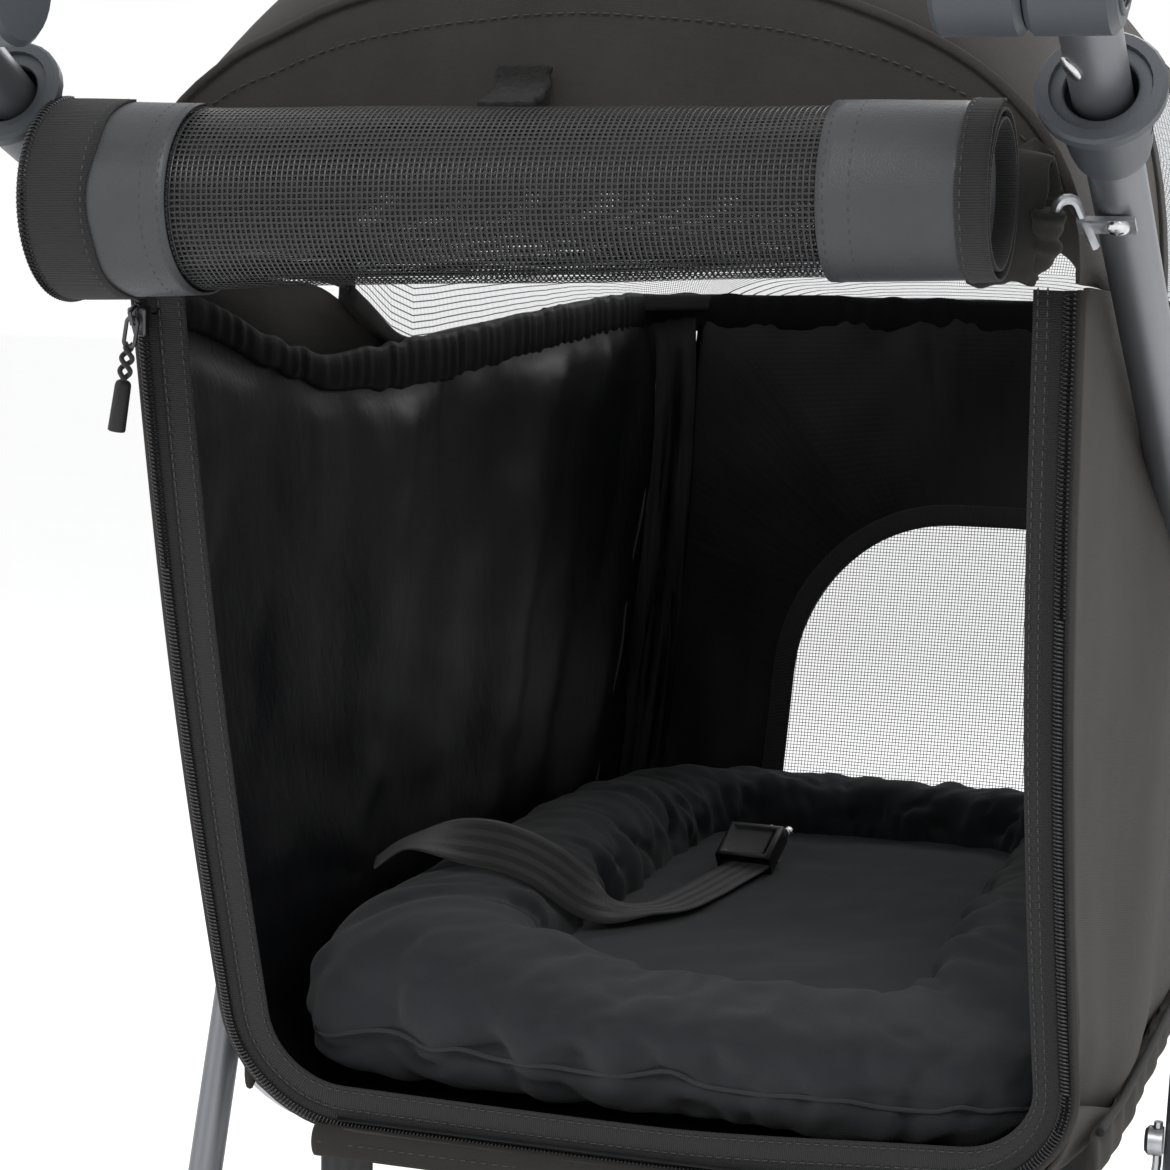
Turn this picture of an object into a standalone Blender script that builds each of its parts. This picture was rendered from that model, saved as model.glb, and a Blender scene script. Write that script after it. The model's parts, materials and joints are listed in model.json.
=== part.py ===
"""Folding pet stroller: a tube frame, a fabric cabin with a rolled-up rear door, and its moving parts.

Metres, +Z up, +Y towards the front wheels, the origin on the ground under the middle of the part.
"""

import math

import bmesh
import bpy
from mathutils import Matrix, Vector

# Where the bottom edge of the rear door opening is.
SILL_Y = -0.1328
SILL_Z = 0.390

# Frame tubes.
TUBE_R = 0.0095
TUBE_X = 0.1815 + TUBE_R
TUBE_LEAN = math.radians(61)
COLLAR_Y = -0.158
COLLAR_Z = 0.401
KNEE_Y = 0.410
CASTER_Y = 0.515
CASTER_TOP = -0.152
GAP = 0.0004

# Handle and its hubs.
HUB_R = 0.021
HUB_BACK = 0.066
HANDLE_LEAN = math.radians(35)
HANDLE_LENGTH = 0.200
HANDLE_X = TUBE_X - 0.0275
HANDLE_R = 0.0095

# Folding rear legs.
LEG_X = TUBE_X + TUBE_R + 0.010
LEG_R = 0.0075
PIVOT_Y = 0.135
PIVOT_Z = 0.238
LEG_LEAN = math.radians(19)

# Wheels.
REAR_R = 0.095
REAR_X = LEG_X + 0.0345
REAR_W = 0.034
FRONT_R = 0.075
FRONT_W = 0.030
TRAIL = 0.035

# Fabric cabin, measured from the sill.
CABIN_HALF = 0.178
CABIN_LENGTH = 0.498
RIM_REAR = 0.341
RIM_FRONT = 0.317
REAR_SLOPE = 0.261
FRONT_SLOPE = 0.358
WALL = 0.005
FLOOR_UNDER = 0.018
CANOPY_REAR = 0.110
CANOPY_RISE = 0.200

# Rolled door.
ROLL_Y = -0.150
ROLL_Z = 0.3666
ROLL_TILT = 0.0194
ROLL_LEFT = 0.0088 - CABIN_HALF
ROLL_RIGHT = CABIN_HALF - 0.018

SOLIDS = None
CUTTERS = None


def at(x, y, z):
    """A point given from the middle of the door sill, in world metres."""
    return Vector((x, y + SILL_Y, z + SILL_Z))


def tube_point(x, s):
    """A point on a main tube's axis, s metres below the collar's flange."""
    y = COLLAR_Y + s * math.sin(TUBE_LEAN)
    return at(x, y, COLLAR_Z - s * math.cos(TUBE_LEAN))


def start():
    """Empty the file and make the two collections."""
    for old in list(bpy.data.objects):
        bpy.data.objects.remove(old, do_unlink=True)
    made = []
    for name in ("pet_stroller", "cutters"):
        group = bpy.data.collections.new(name)
        bpy.context.scene.collection.children.link(group)
        made.append(group)
    return made


def paint(ob, color, rough=0.6, metal=0.0):
    """Give an object its own material."""
    mat = bpy.data.materials.new(ob.name)
    mat.use_nodes = True
    node = mat.node_tree.nodes["Principled BSDF"]
    node.inputs["Base Color"].default_value = (*color, 1.0)
    node.inputs["Roughness"].default_value = rough
    node.inputs["Metallic"].default_value = metal
    ob.data.materials.clear()
    ob.data.materials.append(mat)
    return ob


def add(name, bm, group=None):
    """Turn a bmesh into an object with outward faces."""
    bmesh.ops.recalc_face_normals(bm, faces=bm.faces)
    mesh = bpy.data.meshes.new(name)
    bm.to_mesh(mesh)
    bm.free()
    ob = bpy.data.objects.new(name, mesh)
    (group or SOLIDS).objects.link(ob)
    return ob


def turned(direction):
    """The rotation that takes +Z to a direction."""
    return Vector(direction).to_track_quat("Z", "Y").to_matrix().to_4x4()


def rod(name, start_point, end_point, radius, sides=32, group=None):
    """A round bar between two points."""
    start_point, end_point = Vector(start_point), Vector(end_point)
    line = end_point - start_point
    bm = bmesh.new()
    place = Matrix.Translation((start_point + end_point) / 2) @ turned(line)
    bmesh.ops.create_cone(bm, cap_ends=True, segments=sides, radius1=radius, radius2=radius,
                          depth=line.length, matrix=place)
    return add(name, bm, group)


def block(name, center, size, bevel=0.0, rotation=None, group=None):
    """A box with bevelled edges."""
    bm = bmesh.new()
    bmesh.ops.create_cube(bm, size=1.0, matrix=Matrix.Diagonal((*size, 1.0)))
    if bevel:
        bmesh.ops.bevel(bm, geom=bm.edges[:], offset=bevel, segments=3, affect="EDGES", profile=0.5)
    place = Matrix.Translation(Vector(center))
    if rotation is not None:
        place = place @ rotation
    bm.transform(place)
    return add(name, bm, group)


def loft(name, rings, group=None):
    """A closed solid through rings of points, each with the same count."""
    bm = bmesh.new()
    rows = [[bm.verts.new(p) for p in ring] for ring in rings]
    count = len(rows[0])
    for low, high in zip(rows, rows[1:]):
        for i in range(count):
            j = (i + 1) % count
            bm.faces.new((low[i], low[j], high[j], high[i]))
    bm.faces.new(list(reversed(rows[0])))
    bm.faces.new(rows[-1])
    return add(name, bm, group)


def lathe(name, profile, place, axis, sides=40, group=None):
    """A solid of revolution from (along, radius) pairs; a pair of radius 0 closes an end."""
    base = turned(axis)
    bm = bmesh.new()
    rows = []
    for along, radius in profile:
        if radius == 0:
            rows.append([bm.verts.new((0, 0, along))])
            continue
        row = []
        for i in range(sides):
            a = 2 * math.pi * i / sides
            row.append(bm.verts.new((radius * math.cos(a), radius * math.sin(a), along)))
        rows.append(row)
    pairs = list(zip(rows, rows[1:]))
    if len(rows[0]) > 1:
        pairs.append((rows[-1], rows[0]))
    for low, high in pairs:
        for i in range(sides):
            j = (i + 1) % sides
            if len(low) == 1:
                bm.faces.new((low[0], high[j], high[i]))
            elif len(high) == 1:
                bm.faces.new((low[i], low[j], high[0]))
            else:
                bm.faces.new((low[i], low[j], high[j], high[i]))
    bm.transform(Matrix.Translation(Vector(place)) @ base)
    return add(name, bm, group)


def rounded(points, radius, steps=6):
    """A path with its inner corners turned into arcs."""
    out = [Vector(points[0])]
    for before, corner, after in zip(points, points[1:], points[2:]):
        before, corner, after = Vector(before), Vector(corner), Vector(after)
        one, two = (before - corner).normalized(), (after - corner).normalized()
        half = one.angle(two) / 2
        cut = min(radius / math.tan(half), 0.48 * (before - corner).length,
                  0.48 * (after - corner).length)
        a, b = corner + one * cut, corner + two * cut
        for i in range(steps + 1):
            t = i / steps
            out.append(a * (1 - t) ** 2 + corner * 2 * t * (1 - t) + b * t * t)
    out.append(Vector(points[-1]))
    return out


def section(width, height, power, sides):
    """Points of a flat section, from round to nearly square as power grows."""
    ring = []
    for i in range(sides):
        a = 2 * math.pi * (i + 0.5) / sides
        c, s = math.cos(a), math.sin(a)
        ring.append((math.copysign(abs(c) ** (2 / power), c) * width / 2,
                     math.copysign(abs(s) ** (2 / power), s) * height / 2))
    return ring


def sweep(name, path, outline, up=(0, 0, 1), group=None, twist=False):
    """A section carried along a path; its first axis lies across the given up direction."""
    rings = []
    normal = Vector(up)
    for i, p in enumerate(path):
        line = (path[min(i + 1, len(path) - 1)] - path[max(i - 1, 0)]).normalized()
        if not twist:
            normal = Vector(up)
        side = line.cross(normal).normalized()
        normal = side.cross(line).normalized()
        rings.append([p + side * u + normal * v for u, v in outline])
    return loft(name, rings, group)


def pipe(name, points, radius, bend=0.03, sides=16, steps=6, group=None):
    """A round tube along a path with rounded corners."""
    path = rounded(points, bend, steps)
    line = (path[1] - path[0]).normalized()
    up = Vector((0, 0, 1)) if abs(line.z) < 0.9 else Vector((0, 1, 0))
    return sweep(name, path, section(2 * radius, 2 * radius, 2, sides), up, group, twist=True)


def apply(ob):
    """Replace an object's mesh with its evaluated one."""
    graph = bpy.context.evaluated_depsgraph_get()
    mesh = bpy.data.meshes.new_from_object(ob.evaluated_get(graph))
    ob.modifiers.clear()
    ob.data = mesh
    return ob


def combine(ob, other, how="DIFFERENCE"):
    """Cut or join one solid with another, which becomes a cutter."""
    for group in list(other.users_collection):
        group.objects.unlink(other)
    CUTTERS.objects.link(other)
    other.hide_render = True
    other.display_type = "WIRE"
    mod = ob.modifiers.new("combine", "BOOLEAN")
    mod.solver = "EXACT"
    mod.operation = how
    mod.object = other
    bpy.context.view_layer.update()
    return apply(ob)


def side_name(x):
    return "left" if x < 0 else "right"


METAL = (0.23, 0.24, 0.26)
DARK = (0.03, 0.035, 0.04)
FABRIC = (0.035, 0.033, 0.032)
SATIN = (0.012, 0.013, 0.016)


def main_tubes():
    """The two lower tubes, each with a blind hole for its leg pivot, and the two upper tubes."""
    knee = (KNEE_Y - COLLAR_Y) / math.sin(TUBE_LEAN)
    for sign in (-1, 1):
        x = sign * TUBE_X
        foot = at(x, CASTER_Y, CASTER_TOP)
        tube = pipe(f"main_tube_{side_name(x)}", [tube_point(x, 0.0125), tube_point(x, knee), foot],
                    TUBE_R, 0.09, 20, 6)
        hole = rod("pivot_hole", at(x + sign * 0.003, PIVOT_Y, PIVOT_Z),
                   at(x + sign * 0.02, PIVOT_Y, PIVOT_Z), 0.0034, 20)
        paint(combine(tube, hole), METAL, 0.35, 0.8)
        upper = rod(f"upper_tube_{side_name(x)}", tube_point(x, 0.0125 - GAP),
                    tube_point(x, -HUB_BACK + 0.0135), TUBE_R, 20)
        paint(upper, METAL, 0.35, 0.8)


def lock_collars():
    """Flared sleeves that lock the two joints between the upper and lower tubes."""
    bore = TUBE_R + GAP
    for sign in (-1, 1):
        x = sign * TUBE_X
        down = tube_point(0, 1) - tube_point(0, 0)
        profile = [(0.0335, bore), (0.0335, 0.0125), (0.030, 0.0132), (0.012, 0.0150),
                   (0.006, 0.0165), (0.0035, 0.0192), (0.0025, 0.0203), (-0.0010, 0.0205),
                   (-0.0022, 0.0195), (-0.0022, 0.0160), (0.0030, 0.0146), (0.0100, 0.0136),
                   (0.0160, bore)]
        collar = lathe(f"lock_collar_{side_name(x)}", profile, tube_point(x, 0), down, 28)
        slot = block("collar_slot", tube_point(x + sign * 0.0145, 0.0175), (0.004, 0.0035, 0.009),
                     0.0, Matrix.Rotation(math.pi / 2 - TUBE_LEAN, 4, "X"))
        paint(combine(collar, slot), (0.05, 0.06, 0.068), 0.5)


def hubs():
    """Two angle hubs: the outer half stays on the frame and the inner half turns with the handle."""
    for sign in (-1, 1):
        name = side_name(sign)
        middle = tube_point(0, -HUB_BACK)
        out = Vector((sign, 0, 0))
        rim = [(0, 0), (0, HUB_R - 0.002), (0.002, HUB_R), (0.024, HUB_R), (0.0265, HUB_R - 0.0025),
               (0.0265, 0)]
        base = lathe(f"hub_base_{name}", rim, middle + out * (TUBE_X - 0.0132), out, 32)
        tube = rod("hub_tube_hole", tube_point(sign * TUBE_X, -HUB_BACK + 0.0130),
                   tube_point(sign * TUBE_X, -HUB_BACK + 0.06), TUBE_R + GAP, 20)
        combine(base, tube)
        recess = rod("button_recess", middle + out * (TUBE_X + 0.0078),
                     middle + out * (TUBE_X + 0.019), 0.0116, 40)
        paint(combine(base, recess), (0.05, 0.06, 0.068), 0.45)
        cap = [(0, 0), (0, 0.0096), (0.0012, 0.0110), (0.0062, 0.0110), (0.0078, 0.0096), (0.0078, 0)]
        button = lathe(f"hub_button_{name}", cap, middle + out * (TUBE_X + 0.0110), out, 24)
        paint(button, (0.02, 0.32, 0.34), 0.35)
        inner = [(0, 0), (0, HUB_R - 0.002), (0.002, HUB_R), (0.0245, HUB_R), (0.0265, HUB_R - 0.002),
                 (0.0265, 0)]
        arm = lathe(f"hub_arm_{name}", inner, middle + out * (TUBE_X - 0.0402), out, 32)
        aim = Vector((0, -math.sin(HANDLE_LEAN), math.cos(HANDLE_LEAN)))
        center = middle + out * HANDLE_X
        bar = rod("hub_handle_hole", center + aim * 0.0130, center + aim * 0.06, HANDLE_R + GAP, 28)
        paint(combine(arm, bar), (0.05, 0.06, 0.068), 0.45)


def handle():
    """The handle's bent tube and its foam grip."""
    middle = tube_point(0, -HUB_BACK)
    aim = Vector((0, -math.sin(HANDLE_LEAN), math.cos(HANDLE_LEAN)))
    top = middle + aim * HANDLE_LENGTH
    path = [middle + Vector((-HANDLE_X, 0, 0)) + aim * 0.0135, top + Vector((-HANDLE_X, 0, 0)),
            top + Vector((HANDLE_X, 0, 0)), middle + Vector((HANDLE_X, 0, 0)) + aim * 0.0135]
    paint(pipe("handle_tube", path, HANDLE_R, 0.045, 18, 6), METAL, 0.35, 0.8)
    half, grip = 0.100, 0.0155
    bore = HANDLE_R + GAP
    profile = [(-half, bore), (-half, grip - 0.002), (-half + 0.002, grip), (half - 0.002, grip),
               (half, grip - 0.002), (half, bore)]
    paint(lathe("handle_grip", profile, top, (1, 0, 0), 36), (0.015, 0.015, 0.016), 0.9)


def axle_point():
    """Where the rear axle's centre is, from the sill."""
    z = REAR_R - SILL_Z
    return PIVOT_Y - (PIVOT_Z - z) * math.tan(LEG_LEAN), z


def rear_legs():
    """Two legs that fold about the main tubes, with their pivots, the axle and the floor wire."""
    axle_y, axle_z = axle_point()
    aim = Vector((0, math.sin(LEG_LEAN), math.cos(LEG_LEAN)))
    for sign in (-1, 1):
        name = side_name(sign)
        out = Vector((sign, 0, 0))
        pivot = at(sign * LEG_X, PIVOT_Y, PIVOT_Z)
        foot = at(sign * LEG_X, axle_y, axle_z)
        leg = rod(f"rear_leg_{name}", foot - aim * 0.016, pivot + aim * 0.018, LEG_R, 20)
        combine(leg, rod("leg_axle_hole", foot - out * 0.02, foot + out * 0.02, 0.0044, 24))
        combine(leg, rod("leg_pivot_hole", pivot - out * 0.02, pivot + out * 0.02, 0.0034, 20))
        paint(leg, METAL, 0.35, 0.8)
        profile = [(-0.0150, 0), (-0.0150, 0.0030), (-0.0093, 0.0030), (-0.0093, 0.0065),
                   (-0.0079, 0.0065), (-0.0079, 0.0030), (0.0079, 0.0030), (0.0079, 0.0070),
                   (0.0105, 0.0060), (0.0115, 0.0035), (0.0115, 0)]
        bolt = lathe(f"leg_pivot_{name}", profile, pivot, out, 20)
        paint(bolt, (0.5, 0.5, 0.5), 0.3, 1.0)
        saddle = at(sign * LEG_X, PIVOT_Y - (PIVOT_Z - 0.002) * math.tan(LEG_LEAN), 0.002)
        clip = [(-0.0150, 0), (-0.0150, 0.0045), (-0.0135, 0.0060), (-0.0079, 0.0060), (-0.0079, 0)]
        clip_ob = lathe(f"wire_clip_{name}", clip, saddle, out, 24)
        seat = rod("wire_seat", at(sign * (LEG_X - 0.010), saddle.y - SILL_Y, 0.010),
                   at(sign * (LEG_X - 0.010), saddle.y - SILL_Y, -0.010), 0.0026, 16)
        paint(combine(clip_ob, seat), (0.35, 0.35, 0.36), 0.35, 0.9)
    tube, journal, end = 0.0080, 0.0040, REAR_X + REAR_W / 2 + 0.004
    inner = LEG_X - LEG_R - GAP
    profile = [(-end, 0), (-end, journal), (-inner, journal), (-inner, tube), (inner, tube),
               (inner, journal), (end, journal), (end, 0)]
    paint(lathe("rear_axle", profile, at(0, axle_y, axle_z), (1, 0, 0), 28), METAL, 0.35, 0.8)
    low, x, y = -0.031, LEG_X - 0.010, PIVOT_Y - (PIVOT_Z - 0.002) * math.tan(LEG_LEAN)
    path = [at(-x, y, 0.010), at(-x, y, -0.019), at(-0.178, y, low), at(0.178, y, low),
            at(x, y, -0.019), at(x, y, 0.010)]
    paint(pipe("floor_wire", path, 0.0019, 0.02, 8, 4), (0.35, 0.35, 0.36), 0.3, 0.9)


def brake():
    """A pedal that turns on the rear axle."""
    axle_y, axle_z = axle_point()
    center = at(0, axle_y, axle_z)
    sleeve = rod("brake_pedal", center - Vector((0.035, 0, 0)), center + Vector((0.035, 0, 0)),
                 0.0125, 32)
    plate = block("pedal_plate", center + Vector((0, -0.036, 0.004)), (0.064, 0.056, 0.007), 0.0018)
    combine(sleeve, plate, "UNION")
    bore = rod("pedal_bore", center - Vector((0.05, 0, 0)), center + Vector((0.05, 0, 0)),
               0.0080 + GAP, 32)
    paint(combine(sleeve, bore), (0.05, 0.06, 0.068), 0.5)


def wheel(name, center, radius, width, bore, holes, sign):
    """A spoked rim and its tyre."""
    out = Vector((sign, 0, 0))
    half, seat = width / 2, radius * 0.74
    lip, web = half - 0.003, 0.004
    profile = [(-half, bore), (-half, 0.011), (-web, 0.015), (-web, seat - 0.010), (-lip, seat - 0.005),
               (-lip, seat), (lip, seat), (lip, seat - 0.005), (web, seat - 0.010), (web, 0.015),
               (half, 0.011), (half, bore)]
    rim = lathe(f"{name}_rim_{side_name(sign)}", profile, center, out, 32)
    spot = (0.015 + seat - 0.010) / 2
    size = (seat - 0.010 - 0.015) * 0.36
    cut = None
    for i in range(holes):
        a = 2 * math.pi * i / holes
        p = center + Vector((0, spot * math.cos(a), spot * math.sin(a)))
        hole = rod("rim_hole", p - out * 0.03, p + out * 0.03, size, 12)
        cut = hole if cut is None else combine(cut, hole, "UNION")
    paint(combine(rim, cut), (0.06, 0.065, 0.07), 0.45)
    deep = seat + GAP
    tread = [(-lip + 0.001, deep), (-half, seat + 0.004), (-half, radius - 0.009),
             (-half + 0.003, radius - 0.004), (-half + 0.008, radius - 0.0008), (0, radius),
             (half - 0.008, radius - 0.0008), (half - 0.003, radius - 0.004), (half, radius - 0.009),
             (half, seat + 0.004), (lip - 0.001, deep)]
    paint(lathe(f"{name}_tyre_{side_name(sign)}", tread, center, out, 32), (0.02, 0.02, 0.02), 0.85)


def wheels():
    """Rear wheels on the axle and front wheels in their swivel forks."""
    axle_y, axle_z = axle_point()
    for sign in (-1, 1):
        wheel("rear", at(sign * REAR_X, axle_y, axle_z), REAR_R, REAR_W, 0.0043, 6, sign)
        low = FRONT_R - SILL_Z
        wheel("front", at(sign * TUBE_X, CASTER_Y - TRAIL, low), FRONT_R, FRONT_W, 0.0033, 5, sign)


def casters():
    """Sockets on the main tubes, with swivel forks and axle pins."""
    tilt = Vector((0, CASTER_Y, CASTER_TOP)) - Vector((0, KNEE_Y, COLLAR_Z - (KNEE_Y - COLLAR_Y)
                                                       / math.tan(TUBE_LEAN)))
    tilt = tilt.normalized()
    for sign in (-1, 1):
        name, x = side_name(sign), sign * TUBE_X
        axis = at(x, CASTER_Y, 0)
        axis.z = 0
        up = Vector((0, 0, 1))
        profile = [(0.2000, 0), (0.2000, 0.0195), (0.2020, 0.0215), (0.2520, 0.0215), (0.2560, 0.0185),
                   (0.2560, 0)]
        socket = lathe(f"caster_socket_{name}", profile, axis, up, 28)
        foot = at(x, CASTER_Y, CASTER_TOP)
        combine(socket, rod("socket_tube_hole", foot + tilt * GAP, foot - tilt * 0.08,
                            TUBE_R + GAP, 20))
        combine(socket, rod("socket_stem_hole", axis + up * 0.19, axis + up * 0.2205, 0.0054, 24))
        paint(socket, (0.05, 0.06, 0.068), 0.5)
        hub = at(x, CASTER_Y - TRAIL, 0)
        hub.z = FRONT_R
        rings = []
        for dx in (-0.0225, 0.0225):
            ring = [(axis.y + 0.019, 0.1990), (axis.y - 0.019, 0.1990), (axis.y - 0.030, 0.1850),
                    (hub.y - 0.0125, 0.0850)]
            for i in range(7):
                a = math.pi + math.pi * i / 6
                ring.append((hub.y + 0.0125 * math.cos(a), 0.075 + 0.0125 * math.sin(a)))
            ring += [(hub.y + 0.0130, 0.0850), (axis.y + 0.010, 0.1500), (axis.y + 0.019, 0.1850)]
            rings.append([Vector((x + dx, y, z)) for y, z in ring])
        fork = loft(f"caster_fork_{name}", rings)
        combine(fork, rod("fork_stem", axis + up * 0.19, axis + up * 0.2195, 0.0050, 24), "UNION")
        combine(fork, block("fork_slot", (x, axis.y - 0.02, 0.078), (0.0345, 0.2, 0.160)))
        combine(fork, rod("fork_axle_hole", hub - Vector((0.05, 0, 0)), hub + Vector((0.05, 0, 0)),
                          0.0033, 20))
        paint(fork, (0.05, 0.06, 0.068), 0.45)
        pin = [(-0.0262, 0), (-0.0262, 0.0055), (-0.0229, 0.0060), (-0.0229, 0.0030), (0.0229, 0.0030),
               (0.0229, 0.0060), (0.0262, 0.0055), (0.0262, 0)]
        paint(lathe(f"front_axle_{name}", pin, hub, (1, 0, 0), 24), (0.5, 0.5, 0.5), 0.3, 1.0)


def cross_tubes():
    """The cross tube above the casters and the hoop that carries the cabin's floor."""
    top_z = COLLAR_Z - (KNEE_Y - COLLAR_Y) / math.tan(TUBE_LEAN)
    z = -0.050
    y = KNEE_Y + (top_z - z) * (CASTER_Y - KNEE_Y) / (top_z - CASTER_TOP)
    half = TUBE_X - TUBE_R - GAP
    paint(rod("front_cross_tube", at(-half, y, z), at(half, y, z), 0.0070, 28), METAL, 0.35, 0.8)
    s = (0.36 - COLLAR_Y) / math.sin(TUBE_LEAN)
    off = Vector((0, -math.cos(TUBE_LEAN), -math.sin(TUBE_LEAN)))
    ends = []
    for x in (-TUBE_X, TUBE_X):
        touch = tube_point(x, s) + off * (TUBE_R + GAP)
        low = touch + off * 0.020
        ends.append([touch, low, Vector((x, low.y, SILL_Z - 0.0260))])
    paint(pipe("floor_hoop", ends[0] + ends[1][::-1], 0.0060, 0.03, 12, 4), METAL, 0.35, 0.8)


def rim_wire():
    """The spring wire across the door's top, with its flattened ends and their screws."""
    points = [(-0.0080, -0.1010, 0.3535), (-0.0135, -0.1150, 0.3690), (-0.0180, -0.1180, 0.3680),
              (-0.0220, -0.1120, 0.3520), (-0.0410, -0.1080, 0.3460)]
    points = [(TUBE_X + x, y, z) for x, y, z in points]
    path = [at(-x, y, z) for x, y, z in points] + [at(x, y, z) for x, y, z in points[::-1]]
    wire = pipe("rim_wire", path, 0.0018, 0.006, 8, 3)
    off = Vector((0, -math.cos(TUBE_LEAN), -math.sin(TUBE_LEAN)))
    along = Matrix.Rotation(math.pi / 2 - TUBE_LEAN, 4, "X")
    for sign in (-1, 1):
        s = 0.0640
        center = tube_point(sign * TUBE_X, s) + off * (TUBE_R + GAP + 0.0009)
        tab = block("wire_tab", center + Vector((-sign * 0.0035, 0, 0)), (0.0190, 0.0085, 0.0018),
                    0.0, along.inverted())
        combine(wire, tab, "UNION")
        combine(wire, rod("tab_hole", center - off * 0.01, center + off * 0.01, 0.0025, 16))
        profile = [(-0.0010, 0), (-0.0010, 0.0020), (0.0010, 0.0020), (0.0010, 0.0042),
                   (0.0026, 0.0034), (0.0030, 0.0015), (0.0030, 0)]
        screw = lathe(f"rim_screw_{side_name(sign)}", profile, center, off, 16)
        paint(screw, (0.6, 0.6, 0.6), 0.3, 1.0)
    paint(wire, (0.45, 0.46, 0.48), 0.3, 0.95)


def cabin_half(y, z):
    """Half of the cabin's outer width: it flares a little towards the top of the front."""
    forward = min(max(y / 0.55, 0), 1)
    up = min(max(z / 0.33, 0), 1)
    return CABIN_HALF + 0.016 * forward * up ** 3


def cabin_ring(t, inset, top, bottom=None):
    """One upright section of the cabin, t of the way from the door to the front wall."""
    low = -FLOOR_UNDER if bottom is None else bottom
    rim = RIM_REAR + (RIM_FRONT - RIM_REAR) * min(max(t, 0), 1) + top
    points = []
    radius = 0.050 - 0.030 * min(max(t, 0) / 0.2, 1) - inset
    for i in range(7):
        a = math.pi + math.pi / 2 * i / 6
        points.append((-1, radius * (1 + math.cos(a)), low + radius * (1 + math.sin(a))))
    for i in range(7):
        a = 1.5 * math.pi + math.pi / 2 * i / 6
        points.append((1, -radius * (1 - math.cos(a)), low + radius * (1 + math.sin(a))))
    for f in (0.4, 0.7, 1.0):
        points.append((1, 0, low + radius + (rim - low - radius) * f))
    for f in (1.0, 0.7, 0.4):
        points.append((-1, 0, low + radius + (rim - low - radius) * f))
    ring = []
    for sign, dx, z in points:
        rear = -REAR_SLOPE * z
        front = CABIN_LENGTH + FRONT_SLOPE * z - inset
        y = rear + (front - rear) * t
        round_off = 0.045 * (max(0.0, (t - 0.90) / 0.10) ** 2.2)
        half = cabin_half(y, z) - inset - round_off
        ring.append(at(sign * half + dx, y, z))
    return ring


def cabin():
    """The fabric tub: floor, sides and front, open at the door and at the top."""
    steps = (0, 0.2, 0.4, 0.6, 0.8, 0.90, 0.94, 0.97, 0.99, 1.0)
    tub = loft("cabin_tub", [cabin_ring(t, 0.0, 0.0) for t in steps])
    inner_steps = (-0.08,) + steps[1:]
    inside = loft("cabin_inside", [cabin_ring(t, WALL, 0.06, bottom=-FLOOR_UNDER + WALL + 0.001)
                                   for t in inner_steps])
    paint(combine(tub, inside), FABRIC, 0.9)


def canopy_rise(t):
    """How far the hood's middle stands over its rim, t of the way forward."""
    rise = CANOPY_REAR + (CANOPY_RISE - CANOPY_REAR) * (1 - math.exp(-t / 0.10))
    if t > 0.42:
        fall = (t - 0.42) / 0.58
        rise = 0.030 + (rise - 0.030) * max(0.0, 1 - fall ** 2.4) ** 0.62
    return rise


def canopy_ring(t, inset, drop, rise=None):
    """One arch of the canopy, t of the way from the door to the front wall."""
    s = min(max(t, 0), 1)
    rim = RIM_REAR + (RIM_FRONT - RIM_REAR) * s + 0.0006
    rear = -REAR_SLOPE * rim - 0.006 * (1 - s)
    front = CABIN_LENGTH + FRONT_SLOPE * rim
    y = rear + (front - rear) * t
    tall = (canopy_rise(s) if rise is None else rise) - inset
    half = cabin_half(y, rim) - inset - 0.045 * (max(0.0, (s - 0.90) / 0.10) ** 2.2)
    ring = []
    count = 20
    for i in range(count + 1):
        a = math.pi * i / count
        x = math.cos(a) * half
        z = max(math.sin(a), 0.0) ** (2 / 2.4) * tall
        ring.append(at(x, y, rim + z))
    ring[0] = at(half, y, rim - drop)
    ring[-1] = at(-half, y, rim - drop)
    return ring


def canopy():
    """The arched hood over the tub, open at the rear only under its edge."""
    steps = [0, 0.04, 0.09, 0.15, 0.22, 0.30, 0.38, 0.46, 0.54, 0.62, 0.70, 0.78, 0.85, 0.90,
             0.94, 0.97, 0.99, 1.0]
    outer = loft("canopy", [canopy_ring(t, 0.0, 0.0) for t in steps])
    wall = 0.0045
    rings = [canopy_ring(t, wall, 0.03, 0.030) for t in (-0.05, 0.006)]
    rings += [canopy_ring(t, wall, 0.03) for t in [0.016] + steps[1:-3] + [0.975, 0.988]]
    inner = loft("canopy_inside", rings)
    paint(combine(outer, inner), FABRIC, 0.9)


def door_path(inset, count=8):
    """The line of the zip around the opening, from its left top to its right top."""
    half, radius, top, low = CABIN_HALF - inset, 0.050 - inset, RIM_REAR - 0.002, -FLOOR_UNDER + inset
    flat = [(-half, top), (-half, (top + low) / 2)]
    for i in range(count + 1):
        a = math.pi + math.pi / 2 * i / count
        flat.append((-half + radius + radius * math.cos(a), low + radius + radius * math.sin(a)))
    flat += [(-x, z) for x, z in reversed(flat)]
    return [at(x, -REAR_SLOPE * z, z) for x, z in flat]


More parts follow.
